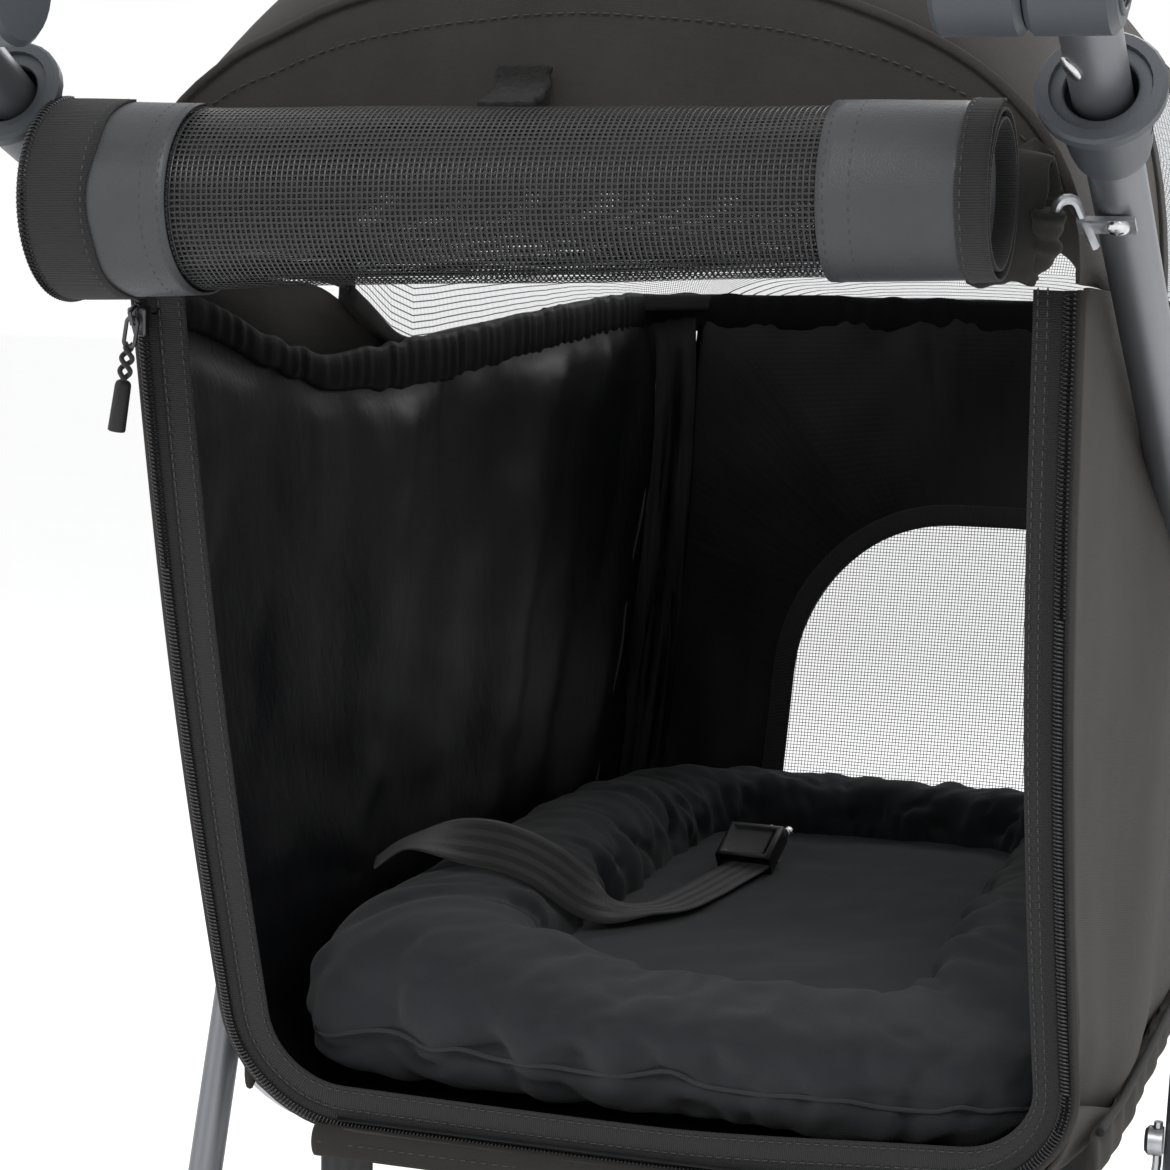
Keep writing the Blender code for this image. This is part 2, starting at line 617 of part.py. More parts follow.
def door():
    """The zip band around the opening, its slider and pull, the rolled door and the tab on it."""
    out = Vector((0, -1, -REAR_SLOPE)).normalized()
    path = [p + out * (0.0018 + GAP) for p in door_path(0.0085)]
    band = sweep("door_zip", path, section(0.019, 0.0030, 6, 8), out)
    paint(band, (0.02, 0.02, 0.022), 0.8)
    x, z = -(CABIN_HALF - 0.0055), 0.322
    slide = at(x, -REAR_SLOPE * z, z) + out * 0.0064
    lean = Matrix.Rotation(math.atan(REAR_SLOPE), 4, "X")
    paint(block("zip_slider", slide, (0.0085, 0.0044, 0.0115), 0.001, lean), (0.3, 0.3, 0.3), 0.3, 0.9)
    hang = slide + out * 0.0056 + Vector((0, 0, 0.003))
    profile = [(0, 0), (0.0002, 0.0016), (0.0020, 0.0027), (0.010, 0.0027), (0.0125, 0.0017),
               (0.0240, 0.0017), (0.0265, 0.0034), (0.0440, 0.0034), (0.0462, 0.0022), (0.0465, 0)]
    paint(lathe("zip_pull", profile, hang, (0, 0, -1), 16), (0.02, 0.02, 0.02), 0.6)
    ends = [(ROLL_LEFT, 0.0335), (ROLL_RIGHT, 0.0272)]
    profile = [(x, r) for x, r in ends] + [(x, r - 0.009) for x, r in reversed(ends)]
    roll = lathe("door_roll", profile, at(0, ROLL_Y, ROLL_Z), (1, 0, ROLL_TILT), 32)
    paint(roll, (0.03, 0.035, 0.04), 0.5)
    tab = [at(-0.018, ROLL_Y + 0.010, ROLL_Z + 0.0325), at(-0.018, ROLL_Y + 0.0515, ROLL_Z + 0.0325)]
    paint(sweep("roll_tab", tab, section(0.022, 0.0022, 6, 12), (0, 0, 1)), (0.015, 0.015, 0.016), 0.9)


def pad_outline(u, z, sides=40):
    """A rounded rectangle between the cushion's outer edge and the inner edge of its bolster."""
    x_out, y_near, y_far = CABIN_HALF - 0.0115, 0.012, CABIN_LENGTH - 0.012
    x_in, n_in, f_in = CABIN_HALF - 0.092, 0.101, CABIN_LENGTH - 0.056
    half = x_out + (x_in - x_out) * u
    near = y_near + (n_in - y_near) * u
    far = y_far + (f_in - y_far) * u
    cy, hy = (near + far) / 2, (far - near) / 2
    return [at(px, cy + py, z) for px, py in section(2 * half, 2 * hy, 8.0, sides)]


def cushion():
    """A padded floor mat with a raised bolster all round."""
    rows = [(0.54, -0.0115), (0.32, -0.0090), (0.17, -0.0010), (0.05, 0.0120), (0.0, 0.0320),
            (0.08, 0.0500), (0.24, 0.0630), (0.45, 0.0670), (0.68, 0.0620), (0.86, 0.0500),
            (0.96, 0.0380), (1.0, 0.0305)]
    paint(loft("cushion", [pad_outline(u, z) for u, z in rows]), (0.025, 0.027, 0.032), 0.95)


def tether():
    """The safety strap across the bolster and the buckle that slides on it."""
    points = [(0.0140, 0.100, 0.0770), (0.050, 0.122, 0.0755), (0.082, 0.150, 0.0670),
              (0.106, 0.185, 0.0365), (0.126, 0.235, 0.0345), (0.137, 0.340, 0.0345)]
    points = [at(x - CABIN_HALF, y, z) for x, y, z in points]
    strap = sweep("tether_strap", rounded(points, 0.02, 4), section(0.024, 0.0016, 6, 8), (0, 0, 1))
    paint(strap, (0.012, 0.012, 0.013), 0.85)
    line = (points[-1] - points[-2]).normalized()
    spot = points[-1] - line * 0.020
    turn = Matrix.Rotation(math.atan2(line.y, line.x) - math.pi / 2, 4, "Z")
    body = block("tether_buckle", spot + Vector((0, 0, 0.0030)), (0.031, 0.028, 0.0120), 0.0015, turn)
    way = block("strap_way", spot, (0.0250, 0.06, 0.0026), 0.0, turn)
    paint(combine(body, way), (0.02, 0.02, 0.02), 0.4)


def basket():
    """The open storage tray under the cabin, with its four hanging straps."""
    def box(half, near, far, low, high, spread):
        ring_low = [at(x, y, low) for x, y in ((-half, near), (half, near), (half, far), (-half, far))]
        wide = half + spread
        ring_high = [at(x, y, high) for x, y in ((-wide, near - spread), (wide, near - spread),
                                                 (wide, far + spread), (-wide, far + spread))]
        return ring_low, ring_high
    near, far, low, high, half = 0.020, 0.305, -0.220, -0.130, 0.145
    tray = loft("basket", list(box(half, near, far, low, high, 0.006)))
    for x in (-0.135, 0.135):
        for y in (near - 0.003, far + 0.003):
            strap = block("basket_strap", at(x, y, (high - 0.030 - FLOOR_UNDER - GAP) / 2),
                          (0.024, 0.0040, -FLOOR_UNDER - GAP - (high - 0.030)))
            combine(tray, strap, "UNION")
    inside = loft("basket_inside", list(box(half - 0.005, near + 0.005, far - 0.005, low + 0.005,
                                            high + 0.01, 0.0066)))
    paint(combine(tray, inside), (0.03, 0.03, 0.032), 0.9)


def build():
    global SOLIDS, CUTTERS
    SOLIDS, CUTTERS = start()
    main_tubes()
    lock_collars()
    hubs()
    handle()
    rear_legs()
    brake()
    wheels()
    casters()
    cross_tubes()
    rim_wire()
    cabin()
    canopy()
    door()
    cushion()
    tether()
    basket()
    bpy.context.view_layer.update()


build()
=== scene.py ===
"""Pet stroller: the finished look of a folding pet stroller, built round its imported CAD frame."""

import json
import math

import bmesh
import bpy
import numpy as np
from mathutils import Matrix, Vector, noise
from mathutils.bvhtree import BVHTree

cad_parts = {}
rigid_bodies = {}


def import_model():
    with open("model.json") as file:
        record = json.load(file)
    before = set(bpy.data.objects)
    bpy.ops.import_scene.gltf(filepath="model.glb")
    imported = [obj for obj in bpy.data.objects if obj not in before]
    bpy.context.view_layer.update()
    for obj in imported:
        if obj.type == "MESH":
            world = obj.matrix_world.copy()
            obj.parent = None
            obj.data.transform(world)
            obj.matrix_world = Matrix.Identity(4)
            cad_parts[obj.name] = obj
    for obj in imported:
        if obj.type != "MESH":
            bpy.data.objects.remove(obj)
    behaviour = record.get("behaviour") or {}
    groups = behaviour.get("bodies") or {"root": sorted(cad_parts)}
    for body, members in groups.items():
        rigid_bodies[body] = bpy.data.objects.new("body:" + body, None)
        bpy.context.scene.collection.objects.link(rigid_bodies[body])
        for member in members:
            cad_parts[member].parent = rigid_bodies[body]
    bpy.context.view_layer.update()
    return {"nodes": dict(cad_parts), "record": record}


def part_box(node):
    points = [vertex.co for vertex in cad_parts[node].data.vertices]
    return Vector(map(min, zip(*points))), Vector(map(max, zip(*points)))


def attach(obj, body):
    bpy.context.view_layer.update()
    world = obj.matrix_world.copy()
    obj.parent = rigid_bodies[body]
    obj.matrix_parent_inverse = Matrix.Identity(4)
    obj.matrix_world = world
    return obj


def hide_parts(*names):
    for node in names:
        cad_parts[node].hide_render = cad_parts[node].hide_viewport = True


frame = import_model()

bl_info = {
    "name": "Pet stroller",
    "version": (1, 0, 0),
    "blender": (4, 5, 0),
    "location": "View3D > Sidebar > Stroller",
    "description": "Builds the cloth, trim and finishes of a folding pet stroller",
    "category": "Object",
}

TUB_LOW = Vector(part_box("cabin_tub")[0])
REAR_SLOPE, FRONT_SLOPE = 0.261, 0.358
RIM_REAR, RIM_FRONT = 0.341, 0.317
CABIN_LENGTH = 0.498
SILL = Vector((0.0, TUB_LOW.y + REAR_SLOPE * RIM_REAR, TUB_LOW.z + 0.018))
TUBE_LEAN = math.radians(61)
ROLL_Y, ROLL_Z, ROLL_TILT = -0.150, 0.3666, 0.0194
PI2 = 2 * math.pi
CABIN_HALF = 0.178
FLOOR_LOW = -0.018
TUBE_X = 0.191
THREAD_R = 0.00035
COIL_PITCH = 0.00165


def at(x, y, z):
    """A point given from the middle of the door sill."""
    return Vector((x, y, z)) + SILL


def tube_point(x, s):
    """A point on a main tube's axis, s metres below its collar's flange."""
    return at(x, -0.158 + s * math.sin(TUBE_LEAN), 0.401 - s * math.cos(TUBE_LEAN))


def smoothstep(a, b, x):
    t = min(max((x - a) / (b - a), 0.0), 1.0)
    return t * t * (3 - 2 * t)


# ---------------------------------------------------------------- shader maths


class Value:
    """A shader socket that takes part in Python sums."""

    def __init__(self, finish, socket):
        self.finish, self.socket = finish, socket

    def _math(self, how, a, b=None):
        inputs = {0: a} if b is None else {0: a, 1: b}
        return self.finish.node("ShaderNodeMath", {"operation": how}, inputs)

    def __add__(self, other):
        return self._math("ADD", self, other)

    __radd__ = __add__

    def __sub__(self, other):
        return self._math("SUBTRACT", self, other)

    def __rsub__(self, other):
        return self._math("SUBTRACT", other, self)

    def __mul__(self, other):
        return self._math("MULTIPLY", self, other)

    __rmul__ = __mul__

    def __truediv__(self, other):
        return self._math("DIVIDE", self, other)

    def __pow__(self, other):
        return self._math("POWER", self, other)

    def __lt__(self, other):
        return self._math("LESS_THAN", self, other)

    def __gt__(self, other):
        return self._math("GREATER_THAN", self, other)

    def __abs__(self):
        return self._math("ABSOLUTE", self)

    def sin(self):
        return self._math("SINE", self)

    def fract(self):
        return self._math("FRACT", self)

    def floor(self):
        return self._math("FLOOR", self)

    def most(self, other):
        return self._math("MAXIMUM", self, other)

    def least(self, other):
        return self._math("MINIMUM", self, other)

    def modulo(self, other):
        return self._math("MODULO", self, other)


class Finish:
    """One Principled material, with its uniform values set on the shader's own sockets."""

    def __init__(self, name, **sockets):
        self.material = bpy.data.materials.new(name)
        self.material.use_nodes = True
        self.tree = self.material.node_tree
        self.shader = self.tree.nodes["Principled BSDF"]
        for key, value in sockets.items():
            self.set(key.replace("_", " ").title().replace("Ior", "IOR"), value)

    def set(self, socket, value):
        target = self.shader.inputs[socket]
        if isinstance(value, Value):
            self.tree.links.new(value.socket, target)
        elif isinstance(value, tuple):
            target.default_value = (*value, 1.0) if len(value) == 3 else value
        else:
            target.default_value = value

    def node(self, kind, settings=None, inputs=None, output=0):
        node = self.tree.nodes.new(kind)
        for key, value in (settings or {}).items():
            setattr(node, key, value)
        for key, value in (inputs or {}).items():
            target = node.inputs[key]
            if isinstance(value, Value):
                self.tree.links.new(value.socket, target)
            else:
                target.default_value = value
        return Value(self, node.outputs[output])

    def axes(self, kind="UV"):
        """The pattern's coordinates, one Value each."""
        place = self.node("ShaderNodeTexCoord", output=2 if kind == "UV" else 3)
        split = self.tree.nodes.new("ShaderNodeSeparateXYZ")
        self.tree.links.new(place.socket, split.inputs[0])
        return [Value(self, split.outputs[i]) for i in range(3)]

    def noise(self, scale, detail=3.0, rough=0.55, kind="Object", stretch=None):
        """Noise in the range 0 to 1, scale features to the metre."""
        place = self.node("ShaderNodeTexCoord", output=2 if kind == "UV" else 3)
        if stretch:
            place = self.node("ShaderNodeMapping", None, {"Vector": place, "Scale": stretch})
        return self.node("ShaderNodeTexNoise", None, {"Vector": place, "Scale": scale,
                                                      "Detail": detail, "Roughness": rough})

    def blend(self, factor, low, high):
        """A colour between two colours."""
        return self.node("ShaderNodeMix", {"data_type": "RGBA"},
                         {0: factor, 6: (*low, 1.0) if isinstance(low, tuple) else low,
                          7: (*high, 1.0) if isinstance(high, tuple) else high}, 2)

    def bump(self, height, strength, distance):
        self.set("Normal", self.node("ShaderNodeBump", None, {"Height": height, "Strength": strength,
                                                              "Distance": distance}))
        return self


def tint(color, gain):
    return tuple(c * gain for c in color)


def canvas(name="canvas", color=None):
    """Brushed charcoal canvas: a fine plain weave under a suede-like nap with cloudy wear."""
    color = color or tuple(bpy.context.scene.stroller.canvas_color)
    f = Finish(name, roughness=0.92, specular_ior_level=0.25, sheen_weight=0.10, sheen_roughness=0.5,
               sheen_tint=(0.5, 0.46, 0.42))
    u, v, _ = f.axes()
    weave = abs((u * (math.pi / 0.0007)).sin()) * abs((v * (math.pi / 0.0007)).sin())
    cloud = f.noise(26, 5, 0.62)
    nap = f.noise(900, 3, 0.7)
    slub = f.noise(140, 3, 0.6, "UV", (1, 9, 1))
    tone = cloud * 0.75 + nap * 0.35 + slub * 0.30
    f.set("Base Color", f.blend(tone - 0.15, tint(color, 0.62), tint(color, 1.75)))
    f.set("Roughness", 0.84 + nap * 0.14)
    return f.bump(weave * 0.5 + nap * 0.8 + slub * 0.4, 0.35, 0.0005).material


def satin():
    """Black nylon lining: a tight weave with a soft sheen and fine creases."""
    f = Finish("satin_lining", roughness=0.42, specular_ior_level=0.16)
    u, v, _ = f.axes()
    weave = abs((u * (math.pi / 0.0006)).sin()) + abs((v * (math.pi / 0.0006)).sin())
    crease = f.noise(34, 6, 0.6, "UV", (2.2, 1, 1))
    f.set("Base Color", f.blend(crease, (0.0009, 0.0010, 0.0015), (0.0024, 0.0027, 0.0036)))
    f.set("Roughness", 0.30 + crease * 0.16)
    return f.bump(weave * 0.05 + crease * 1.0, 0.35, 0.0030).material


def net(name, pitch, thread, color, gloss=0.45):
    """Open woven mesh; thread is the share of the pitch that the threads cover."""
    f = Finish(name, roughness=gloss, specular_ior_level=0.5)
    u, v, _ = f.axes()
    a, b = (u / pitch).fract(), (v / pitch).fract()
    across, along = abs(a - 0.5) * 2, abs(b - 0.5) * 2
    solid = (across > 1 - thread).most(along > 1 - thread)
    f.set("Alpha", solid)
    over = ((u / pitch).floor() + (v / pitch).floor()).modulo(2.0)
    tone = f.noise(300, 2) * 0.5 + over * 0.35
    f.set("Base Color", f.blend(tone, tint(color, 0.6), tint(color, 1.5)))
    edge = 1 - thread
    weft = ((across - edge).most(0.0) / thread)
    warp = ((along - edge).most(0.0) / thread)
    height = (weft * (0.7 + over * 0.3)).most(warp * (1.0 - over * 0.3))
    return f.bump(height ** 0.6, 0.9, pitch * 0.16).material


def coated():
    """Coated slate cloth: smooth with a leather-like grain."""
    f = Finish("coated_cloth", roughness=0.45, specular_ior_level=0.45, coat_weight=0.05)
    grain = f.node("ShaderNodeTexVoronoi", {"feature": "DISTANCE_TO_EDGE"},
                   {"Vector": f.node("ShaderNodeTexCoord", output=3), "Scale": 900.0})
    cloud, fine = f.noise(40, 4), f.noise(700, 3)
    f.set("Base Color", f.blend(cloud * 0.8 + fine * 0.2, (0.020, 0.0225, 0.0255), (0.036, 0.039, 0.043)))
    f.set("Roughness", 0.40 + fine * 0.18)
    return f.bump(grain.least(0.25) * 2 + fine * 0.5 + cloud * 0.6, 0.22, 0.0006).material


def ribbed_tape(name="grosgrain", color=(0.0105, 0.0105, 0.0108)):
    """Woven tape with ribs across it."""
    f = Finish(name, roughness=0.8, specular_ior_level=0.3, sheen_weight=0.06)
    u, v, _ = f.axes()
    rib = abs((v * (math.pi / 0.00085)).sin())
    thread = abs((u * (math.pi / 0.0005)).sin())
    fuzz = f.noise(1200, 2)
    f.set("Base Color", f.blend(rib * 0.7 + fuzz * 0.3, tint(color, 0.5), tint(color, 1.9)))
    return f.bump(rib + thread * 0.25 + fuzz * 0.2, 0.7, 0.0006).material


def webbing():
    """Flat nylon strap with a herringbone weave."""
    f = Finish("webbing", roughness=0.68, sheen_weight=0.15)
    u, v, _ = f.axes()
    side = abs((u / 0.006).fract() - 0.5) * 0.006
    herring = abs(((v + side * 1.6) * (math.pi / 0.0010)).sin())
    fuzz = f.noise(1100, 2)
    f.set("Base Color", f.blend(herring * 0.75 + fuzz * 0.25, (0.004, 0.004, 0.005), (0.016, 0.016, 0.018)))
    return f.bump(herring + fuzz * 0.3, 0.7, 0.0005).material


def twill(name="twill", color=(0.0100, 0.0114, 0.0138)):
    """Charcoal twill: diagonal ribs, slubs and a dry surface."""
    f = Finish(name, roughness=0.93, specular_ior_level=0.3, sheen_weight=0.08, sheen_roughness=0.55)
    x, y, z = f.axes("Object")
    rib = abs(((x + y * 0.8 + z * 1.1) * (math.pi / 0.00095)).sin())
    cross = abs(((x - y * 1.1 - z * 0.7) * (math.pi / 0.0006)).sin())
    slub, cloud = f.noise(420, 3, 0.6, "Object", (1, 2.5, 2.5)), f.noise(22, 4)
    tone = rib * 0.42 + slub * 0.38 + cloud * 0.35
    f.set("Base Color", f.blend(tone - 0.05, tint(color, 0.45), tint(color, 1.75)))
    return f.bump(rib * 0.7 + cross * 0.25 + slub * 0.6, 0.55, 0.0006).material


def gunmetal(name="gunmetal", color=(0.155, 0.162, 0.175)):
    """Satin metallic paint with fine flake and faint marks from handling."""
    f = Finish(name, metallic=0.75, roughness=0.36, coat_weight=0.12, coat_roughness=0.3)
    flake, cloud = f.noise(2600, 2, 0.8), f.noise(30, 4)
    scuff = f.noise(90, 6, 0.7, "Object", (1, 1, 12))
    f.set("Base Color", f.blend(flake * 0.6 + cloud * 0.4, tint(color, 0.78), tint(color, 1.28)))
    f.set("Roughness", 0.28 + flake * 0.10 + scuff * 0.12)
    return f.bump(flake + cloud * 0.4, 0.06, 0.0004).material


def plastic(name, color, rough=0.5, grain=1500, depth=0.25, shine=0.45):
    """Moulded plastic with a fine spark-eroded grain."""
    f = Finish(name, roughness=rough, specular_ior_level=shine)
    fine, cloud = f.noise(grain, 2, 0.7), f.noise(45, 4)
    f.set("Base Color", f.blend(cloud * 0.6 + fine * 0.4, tint(color, 0.78), tint(color, 1.3)))
    f.set("Roughness", rough - 0.06 + fine * 0.14)
    return f.bump(fine, depth, 0.0003).material


def bare_steel(name="zinc_wire", color=(0.42, 0.43, 0.45), rough=0.3):
    """Zinc-plated steel with a patchy passivated skin."""
    f = Finish(name, metallic=1.0, roughness=rough)
    patch, fine = f.noise(160, 4, 0.65), f.noise(1500, 2)
    f.set("Base Color", f.blend(patch, tint(color, 0.62), tint(color, 1.35)))
    f.set("Roughness", rough - 0.06 + patch * 0.2)
    return f.bump(fine + patch, 0.10, 0.0003).material


def rubbery(name, color, rough=0.85, pores=700, depth=0.4):
    """Foam or tyre rubber with open pores and a dusty bloom."""
    f = Finish(name, roughness=rough, specular_ior_level=0.3)
    pore, dust = f.noise(pores, 3, 0.75), f.noise(35, 5)
    f.set("Base Color", f.blend(dust * 0.7 + pore * 0.3, tint(color, 0.6), tint(color, 1.8)))
    f.set("Roughness", rough - 0.1 + dust * 0.15)
    return f.bump(pore, depth, 0.0006).material


def stitch_thread():
    f = Finish("stitch_thread", roughness=0.6)
    fuzz = f.noise(2500, 2)
    f.set("Base Color", f.blend(fuzz, (0.010, 0.010, 0.011), (0.03, 0.03, 0.032)))
    return f.bump(fuzz, 0.3, 0.0002).material


def fuzzy():
    """Hook-and-loop pile."""
    f = Finish("hook_and_loop", roughness=0.98, specular_ior_level=0.15, sheen_weight=0.08)
    pile, clump = f.noise(1500, 4, 0.8), f.noise(420, 3)
    f.set("Base Color", f.blend(pile, (0.003, 0.003, 0.003), (0.022, 0.021, 0.02)))
    return f.bump(pile + clump, 1.0, 0.0015).material


def floor_paint():
    f = Finish("studio_floor", roughness=0.6)
    cloud = f.noise(3, 3)
    f.set("Base Color", f.blend(cloud, (0.955, 0.955, 0.958), (0.975, 0.975, 0.978)))
    return f.material


FINISHES = {}


def finish(name):
    """Each finish, made once."""
    makers = {
        "canvas": canvas, "satin": satin, "coated": coated, "tape": ribbed_tape,
        "dark_tape": lambda: ribbed_tape("dark_tape", (0.0050, 0.0050, 0.0054)), "webbing": webbing,
        "twill": twill, "pipe_satin": lambda: plastic("pipe_satin", (0.008, 0.008, 0.010), 0.34, 900, 0.2,
                                                      0.25),
        "rim_satin": lambda: plastic("rim_satin", (0.0018, 0.0019, 0.0023), 0.60, 500, 0.5, 0.07),
        "gunmetal": gunmetal, "zinc": bare_steel, "thread": stitch_thread,
        "fuzzy": fuzzy, "floor": floor_paint,
        "pad_twill": lambda: twill("pad_twill", (0.0145, 0.0160, 0.0195)),
        "hem_canvas": lambda: canvas("hem_canvas", (0.0125, 0.0120, 0.0115)),
        "door_net": lambda: net("door_net", bpy.context.scene.stroller.net_pitch, 0.38,
                                (0.0105, 0.0105, 0.0112), 0.32),
        # Painted light: the pale blue-grey thread colour is painted backlight, the glow of the bright space
        # behind the fine net, not the threads' own colour
        "window_net_painted_backlight": lambda: net("window_net_painted_backlight", 0.0019, 0.20, (0.20, 0.225, 0.27)),
        "basket_net": lambda: net("basket_net", 0.0042, 0.30, (0.012, 0.012, 0.013)),
        "slate": lambda: plastic("slate_plastic", (0.042, 0.048, 0.056), 0.44),
        "teal": lambda: plastic("teal_plastic", (0.012, 0.20, 0.215), 0.34, 1800, 0.1),
        "black": lambda: plastic("black_plastic", (0.008, 0.008, 0.009), 0.36, 1800, 0.15),
        "wheel": lambda: plastic("wheel_plastic", (0.035, 0.038, 0.042), 0.5),
        "bright": lambda: bare_steel("bright_steel", (0.62, 0.62, 0.63), 0.22),
        "dark_metal": lambda: bare_steel("dark_nickel", (0.085, 0.085, 0.09), 0.34),
        "coil": lambda: plastic("zip_coil", (0.010, 0.010, 0.011), 0.30, 2600, 0.1),
        "tip": lambda: rubbery("pull_rubber", (0.012, 0.011, 0.011), 0.55, 2400, 0.1),
        "foam": lambda: rubbery("foam_grip", (0.010, 0.010, 0.011)),
        "tyre": lambda: rubbery("tyre_rubber", (0.016, 0.016, 0.017), 0.8, 1500, 0.2),
    }
    if name not in FINISHES:
        FINISHES[name] = makers[name]()
    return FINISHES[name]


# ---------------------------------------------------------------- making pieces


def put(name, mesh, finish_name, body="chassis", replaces=()):
    """Makes an object of a mesh, and gives it its finish and the body it rides on."""
    ob = bpy.data.objects.new(name, mesh)
    bpy.context.scene.collection.objects.link(ob)
    for polygon in mesh.polygons:
        polygon.use_smooth = True
    ob.data.materials.clear()
    ob.data.materials.append(finish(finish_name))
    if replaces:
        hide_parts(*replaces)
    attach(ob, body)
    return ob


def adopt(ob, name, finish_name, body="chassis", replaces=(), angle=40):
    """Finishes an object that operators made: its name, shading, finish and body."""
    bpy.ops.object.mode_set(mode="OBJECT") if ob.mode != "OBJECT" else None
    bpy.ops.object.select_all(action="DESELECT")
    ob.select_set(True)
    bpy.context.view_layer.objects.active = ob
    bpy.ops.object.transform_apply(location=True, rotation=True, scale=True)
    bpy.ops.object.shade_smooth_by_angle(angle=math.radians(angle))
    ob.name = ob.data.name = name
    ob.data.materials.clear()
    ob.data.materials.append(finish(finish_name))
    if replaces:
        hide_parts(*replaces)
    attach(ob, body)
    return ob


def modify(ob, kind, **values):
    mod = ob.modifiers.new(kind.lower(), kind)
    for key, value in values.items():
        setattr(mod, key, value)
    return mod


def bake_modifiers(ob):
    """Applies every modifier on an object."""
    bpy.ops.object.select_all(action="DESELECT")
    ob.select_set(True)
    bpy.context.view_layer.objects.active = ob
    for mod in list(ob.modifiers):
        bpy.ops.object.modifier_apply(modifier=mod.name)
    return ob


def grid_mesh(name, rows, wrap_u=False, wrap_v=False, caps=False):
    """A mesh through rows of points, with a UV map in metres along and across them."""
    across, down = len(rows[0]), len(rows)
    verts = [tuple(p) for row in rows for p in row]
    us = [[0.0] for _ in rows]
    for j, row in enumerate(rows):
        for i in range(1, across + (1 if wrap_u else 0)):
            us[j].append(us[j][-1] + (Vector(row[i % across]) - Vector(row[i - 1])).length)
    mean = [sum(r[i] for r in us) / down for i in range(len(us[0]))]
    vs, mid = [0.0], across // 2
    for j in range(1, down + (1 if wrap_v else 0)):
        vs.append(vs[-1] + (Vector(rows[j % down][mid]) - Vector(rows[j - 1][mid])).length)
    faces, uvs = [], []
    for j in range(down - (0 if wrap_v else 1)):
        for i in range(across - (0 if wrap_u else 1)):
            i2, j2 = (i + 1) % across, (j + 1) % down
            faces.append((j * across + i, j * across + i2, j2 * across + i2, j2 * across + i))
            uvs += [(mean[i], vs[j]), (mean[i + 1], vs[j]), (mean[i + 1], vs[j + 1]), (mean[i], vs[j + 1])]
    if caps:
        ends = [list(range(across))[::-1], [(down - 1) * across + i for i in range(across)]]
        for end in ends:
            faces.append(tuple(end))
            uvs += [(verts[k][0], verts[k][2]) for k in end]
    mesh = bpy.data.meshes.new(name)
    mesh.from_pydata(verts, [], faces)
    layer = mesh.uv_layers.new(name="UVMap")
    layer.data.foreach_set("uv", [c for uv in uvs for c in uv])
    return mesh


def cloth(name, rows, finish_name, thickness=0.0012, offset=-1.0, levels=1, replaces=(),
          wrap_u=False):
    """A sheet of cloth through rows of points, thickened and smoothed."""
    ob = put(name, grid_mesh(name, rows, wrap_u), finish_name, replaces=replaces)
    if levels:
        modify(ob, "SUBSURF", levels=levels, render_levels=levels)
    modify(ob, "SOLIDIFY", thickness=thickness, offset=offset)
    return ob


def ring_section(width, height, power, count):
    out = []
    for i in range(count):
        a = PI2 * (i + 0.5) / count
        c, s = math.cos(a), math.sin(a)
        out.append((math.copysign(abs(c) ** (2 / power), c) * width / 2,
                    math.copysign(abs(s) ** (2 / power), s) * height / 2))
    return out


def swept(path, section, up, closed=False, shape=None):
    """Rings of a section carried along a path; up is a vector, or one for each point."""
    rings, count = [], len(path)
    for i, p in enumerate(path):
        if closed:
            line = path[(i + 1) % count] - path[i - 1]
        else:
            line = path[min(i + 1, count - 1)] - path[max(i - 1, 0)]
        line = line.normalized()
        normal = up[i] if isinstance(up, list) else up
        side = line.cross(normal).normalized()
        normal = side.cross(line).normalized()
        scale = shape(i / max(count - 1, 1)) if shape else 1.0
        rings.append([p + (side * a + normal * b) * scale for a, b in section])
    return rings


def strip(name, path, width, thick, finish_name, up, body="chassis", replaces=(), power=5,
          count=12, closed=False, shape=None):
    """A flat tape or strap along a path, with rounded edges and closed ends."""
    rings = swept(path, ring_section(width, thick, power, count), up, closed, shape)
    mesh = grid_mesh(name, rings, wrap_u=True, wrap_v=closed, caps=not closed)
    return put(name, mesh, finish_name, body, replaces)


def along(path, step):
    """Points at even steps along a path, with the direction there."""
    lengths = [0.0]
    for a, b in zip(path, path[1:]):
        lengths.append(lengths[-1] + (b - a).length)
    total = lengths[-1]
    count = max(int(total / step), 1)
    out, k = [], 0
    for i in range(count + 1):
        d = total * i / count
        while k < len(path) - 2 and lengths[k + 1] < d:
            k += 1
        span = max(lengths[k + 1] - lengths[k], 1e-9)
        p = path[k].lerp(path[k + 1], (d - lengths[k]) / span)
        out.append((p, (path[k + 1] - path[k]).normalized()))
    return out


def smooth_path(points, per=8):
    """A smooth curve through points."""
    pts = [Vector(p) for p in points]
    pts = [pts[0] * 2 - pts[1]] + pts + [pts[-1] * 2 - pts[-2]]
    out = []
    for i in range(1, len(pts) - 2):
        a, b, c, d = pts[i - 1:i + 3]
        for k in range(per):
            t = k / per
            out.append(0.5 * ((2 * b) + (c - a) * t + (2 * a - 5 * b + 4 * c - d) * t * t
                              + (3 * b - a - 3 * c + d) * t ** 3))
    out.append(pts[-2])
    return out


